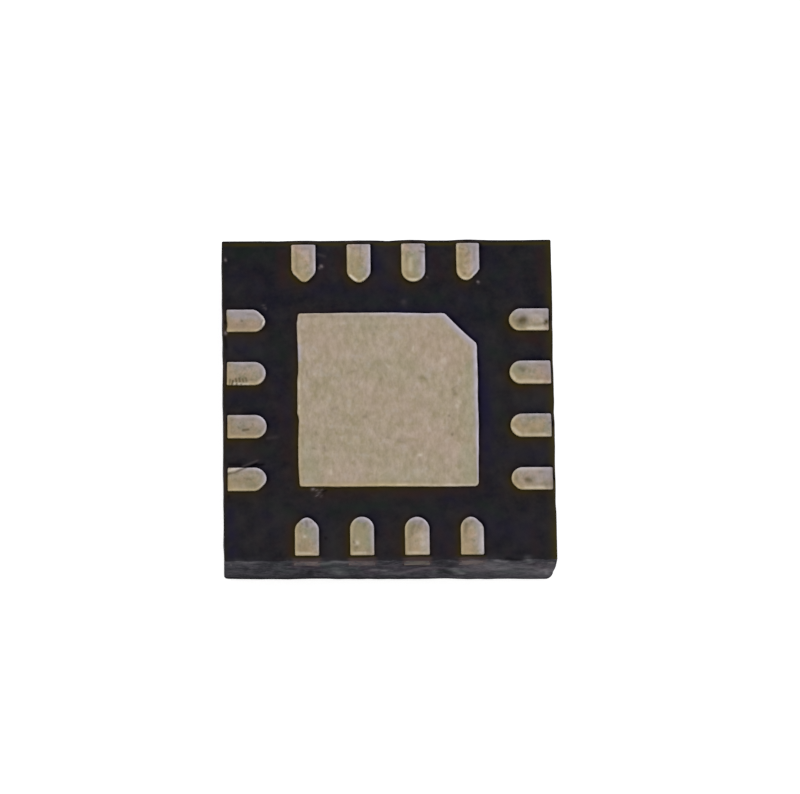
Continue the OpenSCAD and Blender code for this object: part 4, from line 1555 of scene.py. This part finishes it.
def tin_material(name, tone, upright, drawn_out, upright_share, flecks, bare):
    """Matte tin plating on etched copper: warm grey with pinkish and greenish patches and shallow
    upright strokes, flecked with olive and light grey, tinted by painted cool light where it faces
    the back right and painted warm light where it faces the front left, with a painted highlight
    along its rims, brighter along its burrs, dark in its dents, with a painted shade line inside
    its rims and a painted shadow on the step behind a land's outer end, and brown with saw streaks
    where the sheet was cut."""
    material, tree, shader, place = new_material(name, Specular_IOR_Level=0.05)
    drawn = add(tree, "ShaderNodeMapping", {"Scale": (drawn_out, 1.0, 1.0)})
    tones = place_group(tree, "mottle", place, **tone)
    strokes_up = place_group(tree, "mottle", drawn.outputs[0], **upright)
    blend = add(tree, "ShaderNodeMix", {0: upright_share}, data_type="RGBA")
    # Colour of the painted rim highlight: warm or cool as the painted light tint goes
    rim = add(
        tree, "ShaderNodeMix", {6: linear(216, 202, 164), 7: linear(208, 202, 216)},
        data_type="RGBA")
    join(
        tree,
        (place, drawn.inputs["Vector"]),
        (tones.outputs["Color"], blend.inputs[6]), (strokes_up.outputs["Color"], blend.inputs[7]),
        (mapped(tree, attribute(tree, "lean"), 0.0, 1.0, -0.7, 0.7), rim.inputs["Factor"]),
    )
    color = coated(tree, place, blend.outputs[2], [
        (((2.3, 7.1), 12.0, 0.56, 0.70), (143, 133, 98), flecks),
        (((9.7, 1.9), 9.0, 0.56, 0.72), (186, 180, 178), 0.5 * flecks),
        ("hue", (176, 148, 138), 0.35),
        ("hue", (146, 150, 124), -0.45),
        # Painted cool and warm light
        ("lean", (172, 164, 174), 0.75),
        ("lean", (174, 152, 112), -0.68),
        ("shade", (104, 96, 80), 1.0),
        # Painted highlight along the rims
        ("rim", rim.outputs[2], 0.72),
        ("burr", (226, 218, 204), 0.85),
        # Dents and spots, with the painted shade line inside the rims
        ("stain", (78, 68, 42), 0.75),
        # Painted shadow on the sunk step behind a land's outer end
        ("recess_shadow", (44, 32, 12), 1.0),
    ])
    copper = coated(tree, place, linear_color(tree, *bare), [
        (place_group(tree, "saw", place).outputs["Smear"], (66, 61, 66), 0.9),
        ("hue", (90, 86, 72), -0.9),
        ("hue", (112, 100, 98), 0.9),
        (((4.4, 9.1), 13.0, 0.44, 0.60), (58, 54, 60), 0.85),
        (((8.2, 0.7), 17.0, 0.52, 0.64), (106, 90, 83), 0.6),
    ])
    bare_share = attribute(tree, "bare")
    cut_away = add(tree, "ShaderNodeMath", operation="MAXIMUM")
    grain = place_group(tree, "grain", place, Fine=75.0)
    join(
        tree,
        (bare_share, cut_away.inputs[0]), (attribute(tree, "recess_shadow"), cut_away.inputs[1]),
        (mixed(tree, bare_share, color, copper), shader.inputs["Base Color"]),
        (mapped(tree, cut_away.outputs[0], 0.55, 0.0), shader.inputs["Metallic"]),
        (mapped(tree, tones.outputs["Value"], 0.5, 0.64), shader.inputs["Roughness"]),
    )
    bump(tree, shader, grain.outputs["Height"], 0.002, 0.6)
    return material


def pad_tin():
    """The pad's tin: broad soft patches, with shallow strokes drawn out upright."""
    tone = {
        "First": linear(172, 154, 143), "Second": linear(160, 150, 118),
        "Patches": 5.0, "Flecks": 14.0, "Contrast": 1.8,
    }
    upright = {
        "First": linear(180, 165, 147), "Second": linear(136, 125, 103),
        "Patches": 11.0, "Flecks": 26.0, "Contrast": 2.5,
    }
    return tin_material(
        "pad_tin", tone, upright, drawn_out=1.9, upright_share=0.5, flecks=0.42, bare=(66, 64, 67))


def land_tin():
    """The lands' tin: finer and more strongly mottled."""
    tone = {
        "First": linear(190, 159, 136), "Second": linear(140, 146, 123),
        "Patches": 9.0, "Flecks": 30.0, "Contrast": 2.8,
    }
    upright = {
        "First": linear(194, 180, 168), "Second": linear(126, 118, 92),
        "Patches": 16.0, "Flecks": 40.0, "Contrast": 2.9,
    }
    return tin_material(
        "land_tin", tone, upright, drawn_out=1.3, upright_share=0.5, flecks=0.65, bare=(98, 80, 79))


def inner_material(name, first, second, patches, flecks, height, **shader_values):
    """The finish of a piece sealed inside: soft patches of two close colours, with a fine grain."""
    material, tree, shader, place = new_material(name, **shader_values)
    tone = place_group(
        tree, "mottle", place, First=linear(*first), Second=linear(*second),
        Patches=patches, Flecks=flecks, Contrast=1.6)
    grain = place_group(tree, "grain", place, Fine=flecks)
    join(
        tree,
        (tone.outputs["Color"], shader.inputs["Base Color"]),
        (mapped(tree, tone.outputs["Value"], 0.28, 0.42), shader.inputs["Roughness"]),
    )
    bump(tree, shader, grain.outputs["Height"], height, 0.5)
    return material


def dress_nodes(names, material):
    """Gives CAD nodes their procedural material."""
    for name in names:
        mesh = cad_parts[name].data
        mesh.materials.clear()
        mesh.materials.append(material)


# Floor, light and camera

FLOOR_HALF = 150.0
FLOOR_DROP = 0.0008
FLOOR_GLOW = 0.65
WORLD_LEVEL = 0.62
LAMP_DISTANCE = 60.0

CAMERA_AZIMUTH, CAMERA_TILT, CAMERA_ROLL = -7.452, 15.098, -0.815
CAMERA_DISTANCE = 60.0
CAMERA_TARGET = (0.1233, 0.1116, 0.4)
CAMERA_NEAR, CAMERA_FAR = 1, 5000
FOCAL_PIXELS = 6546.1
IMAGE_WIDTH = 800
SENSOR = 36.0


def shown_rays(tree):
    """1 for camera, glossy and transmission rays, which see the white backdrop, and 0 for
    others."""
    path = add(tree, "ShaderNodeLightPath")
    first = add(tree, "ShaderNodeMath", operation="MAXIMUM")
    both = add(tree, "ShaderNodeMath", operation="MAXIMUM")
    join(
        tree,
        (path.outputs["Is Camera Ray"], first.inputs[0]),
        (path.outputs["Is Glossy Ray"], first.inputs[1]),
        (first.outputs[0], both.inputs[0]),
        (path.outputs["Is Transmission Ray"], both.inputs[1]),
    )
    return both.outputs[0]


def make_floor():
    """A pale level floor under the chip. What the camera sees of it is lifted to white by a plain
    glow, and it keeps the chip's shadow."""
    h = FLOOR_HALF * MM
    z = -FLOOR_DROP * MM
    mesh = bpy.data.meshes.new("floor")
    mesh.from_pydata([(-h, -h, z), (h, -h, z), (h, h, z), (-h, h, z)], [], [(0, 1, 2, 3)])
    floor = bpy.data.objects.new("floor", mesh)
    bpy.context.scene.collection.objects.link(floor)
    material, tree, shader, place = new_material(
        "pale_floor", Roughness=0.9, Specular_IOR_Level=0.0)
    tone = place_group(
        tree, "mottle", place, First=(0.86, 0.86, 0.86, 1), Second=(0.82, 0.82, 0.82, 1),
        Patches=0.05, Flecks=0.4)
    glow = add(tree, "ShaderNodeEmission")
    level = add(tree, "ShaderNodeMath", {1: FLOOR_GLOW}, operation="MULTIPLY")
    both = add(tree, "ShaderNodeAddShader")
    join(
        tree,
        (tone.outputs["Color"], shader.inputs["Base Color"]),
        (shown_rays(tree), level.inputs[0]),
        (level.outputs[0], glow.inputs["Strength"]),
        (shader.outputs[0], both.inputs[0]),
        (glow.outputs[0], both.inputs[1]),
        (both.outputs[0], tree.nodes["Material Output"].inputs["Surface"]),
    )
    mesh.materials.append(material)


def make_world():
    """Plain white surroundings: full white to what sees them, and a softer level as a light."""
    world = bpy.data.worlds.new("white_room")
    world.use_nodes = True
    bpy.context.scene.world = world
    tree = world.node_tree
    background = tree.nodes["Background"]
    background.inputs["Color"].default_value = (1, 1, 1, 1)
    level = mapped(tree, shown_rays(tree), WORLD_LEVEL, 1.0)
    join(tree, (level, background.inputs["Strength"]))


def stand(thing, side, up, way, place):
    """Stands a lamp or the camera at a place in millimetres, with its own axes along the three
    given ways; it looks back against the last one."""
    matrix = np.eye(4)
    matrix[:3] = np.column_stack([side, up, way, place * MM])
    thing.matrix_world = Matrix(matrix.tolist())
    bpy.context.scene.collection.objects.link(thing)


def soft_lamp(name, azimuth, elevation, size, power, color):
    """A square area lamp that looks at the chip from the given direction."""
    az, el = math.radians(azimuth), math.radians(elevation)
    way = np.array([math.cos(el) * math.cos(az), math.cos(el) * math.sin(az), math.sin(el)])
    side = np.cross((0, 0, 1), way)
    side /= np.linalg.norm(side)
    light = bpy.data.lights.new(name, "AREA")
    light.size = size * MM
    light.energy = power
    light.color = color
    light.specular_factor = 0.6
    stand(bpy.data.objects.new(name, light), side, np.cross(way, side), way, way * LAMP_DISTANCE)


def make_lamps():
    """A cool key light from the back right and a warm fill from the front left."""
    soft_lamp("key_back_right", azimuth=58, elevation=52, size=50, power=0.0085,
              color=(0.93, 0.96, 1.0))
    soft_lamp("fill_front_left", azimuth=232, elevation=48, size=60, power=0.0045,
              color=(1.0, 0.96, 0.9))


def make_camera():
    """The photograph's view: from the front and steeply above, leaning a little to the left."""
    az, tilt, roll = (math.radians(v) for v in (CAMERA_AZIMUTH, CAMERA_TILT, CAMERA_ROLL))
    way = np.array([math.sin(tilt) * math.sin(az), -math.sin(tilt) * math.cos(az), math.cos(tilt)])
    level = np.cross((0, 1, 0), way)
    level /= np.linalg.norm(level)
    upright = np.cross(way, level)
    data = bpy.data.cameras.new("camera")
    data.sensor_width = SENSOR
    data.lens = FOCAL_PIXELS * SENSOR / IMAGE_WIDTH
    data.clip_start, data.clip_end = CAMERA_NEAR * MM, CAMERA_FAR * MM
    camera = bpy.data.objects.new("camera", data)
    side = math.cos(roll) * level + math.sin(roll) * upright
    up = -math.sin(roll) * level + math.cos(roll) * upright
    stand(camera, side, up, way, np.array(CAMERA_TARGET) + CAMERA_DISTANCE * way)
    bpy.context.scene.camera = camera


# The chip

mould_piece(compound_material())
pad_piece(pad_tin())
tin = land_tin()
for n in LEADS:
    lead_piece(n, tin)
dress_nodes(["die_attach"], inner_material(
    "attach_film", (190, 190, 184), (172, 172, 168), 5.0, 40.0, 0.002, Coat_Weight=0.2))
dress_nodes(["memory_die"], inner_material(
    "silicon", (92, 96, 116), (74, 80, 104), 1.5, 12.0, 0.0005, Metallic=0.4))
dress_nodes([f"bond_wire_{n:02d}" for n in LEADS], inner_material(
    "gold_wire", (232, 190, 110), (218, 172, 92), 12.0, 90.0, 0.0005, Metallic=1.0))

make_floor()
make_world()
make_lamps()
make_camera()
bpy.context.scene.view_settings.view_transform = "Standard"
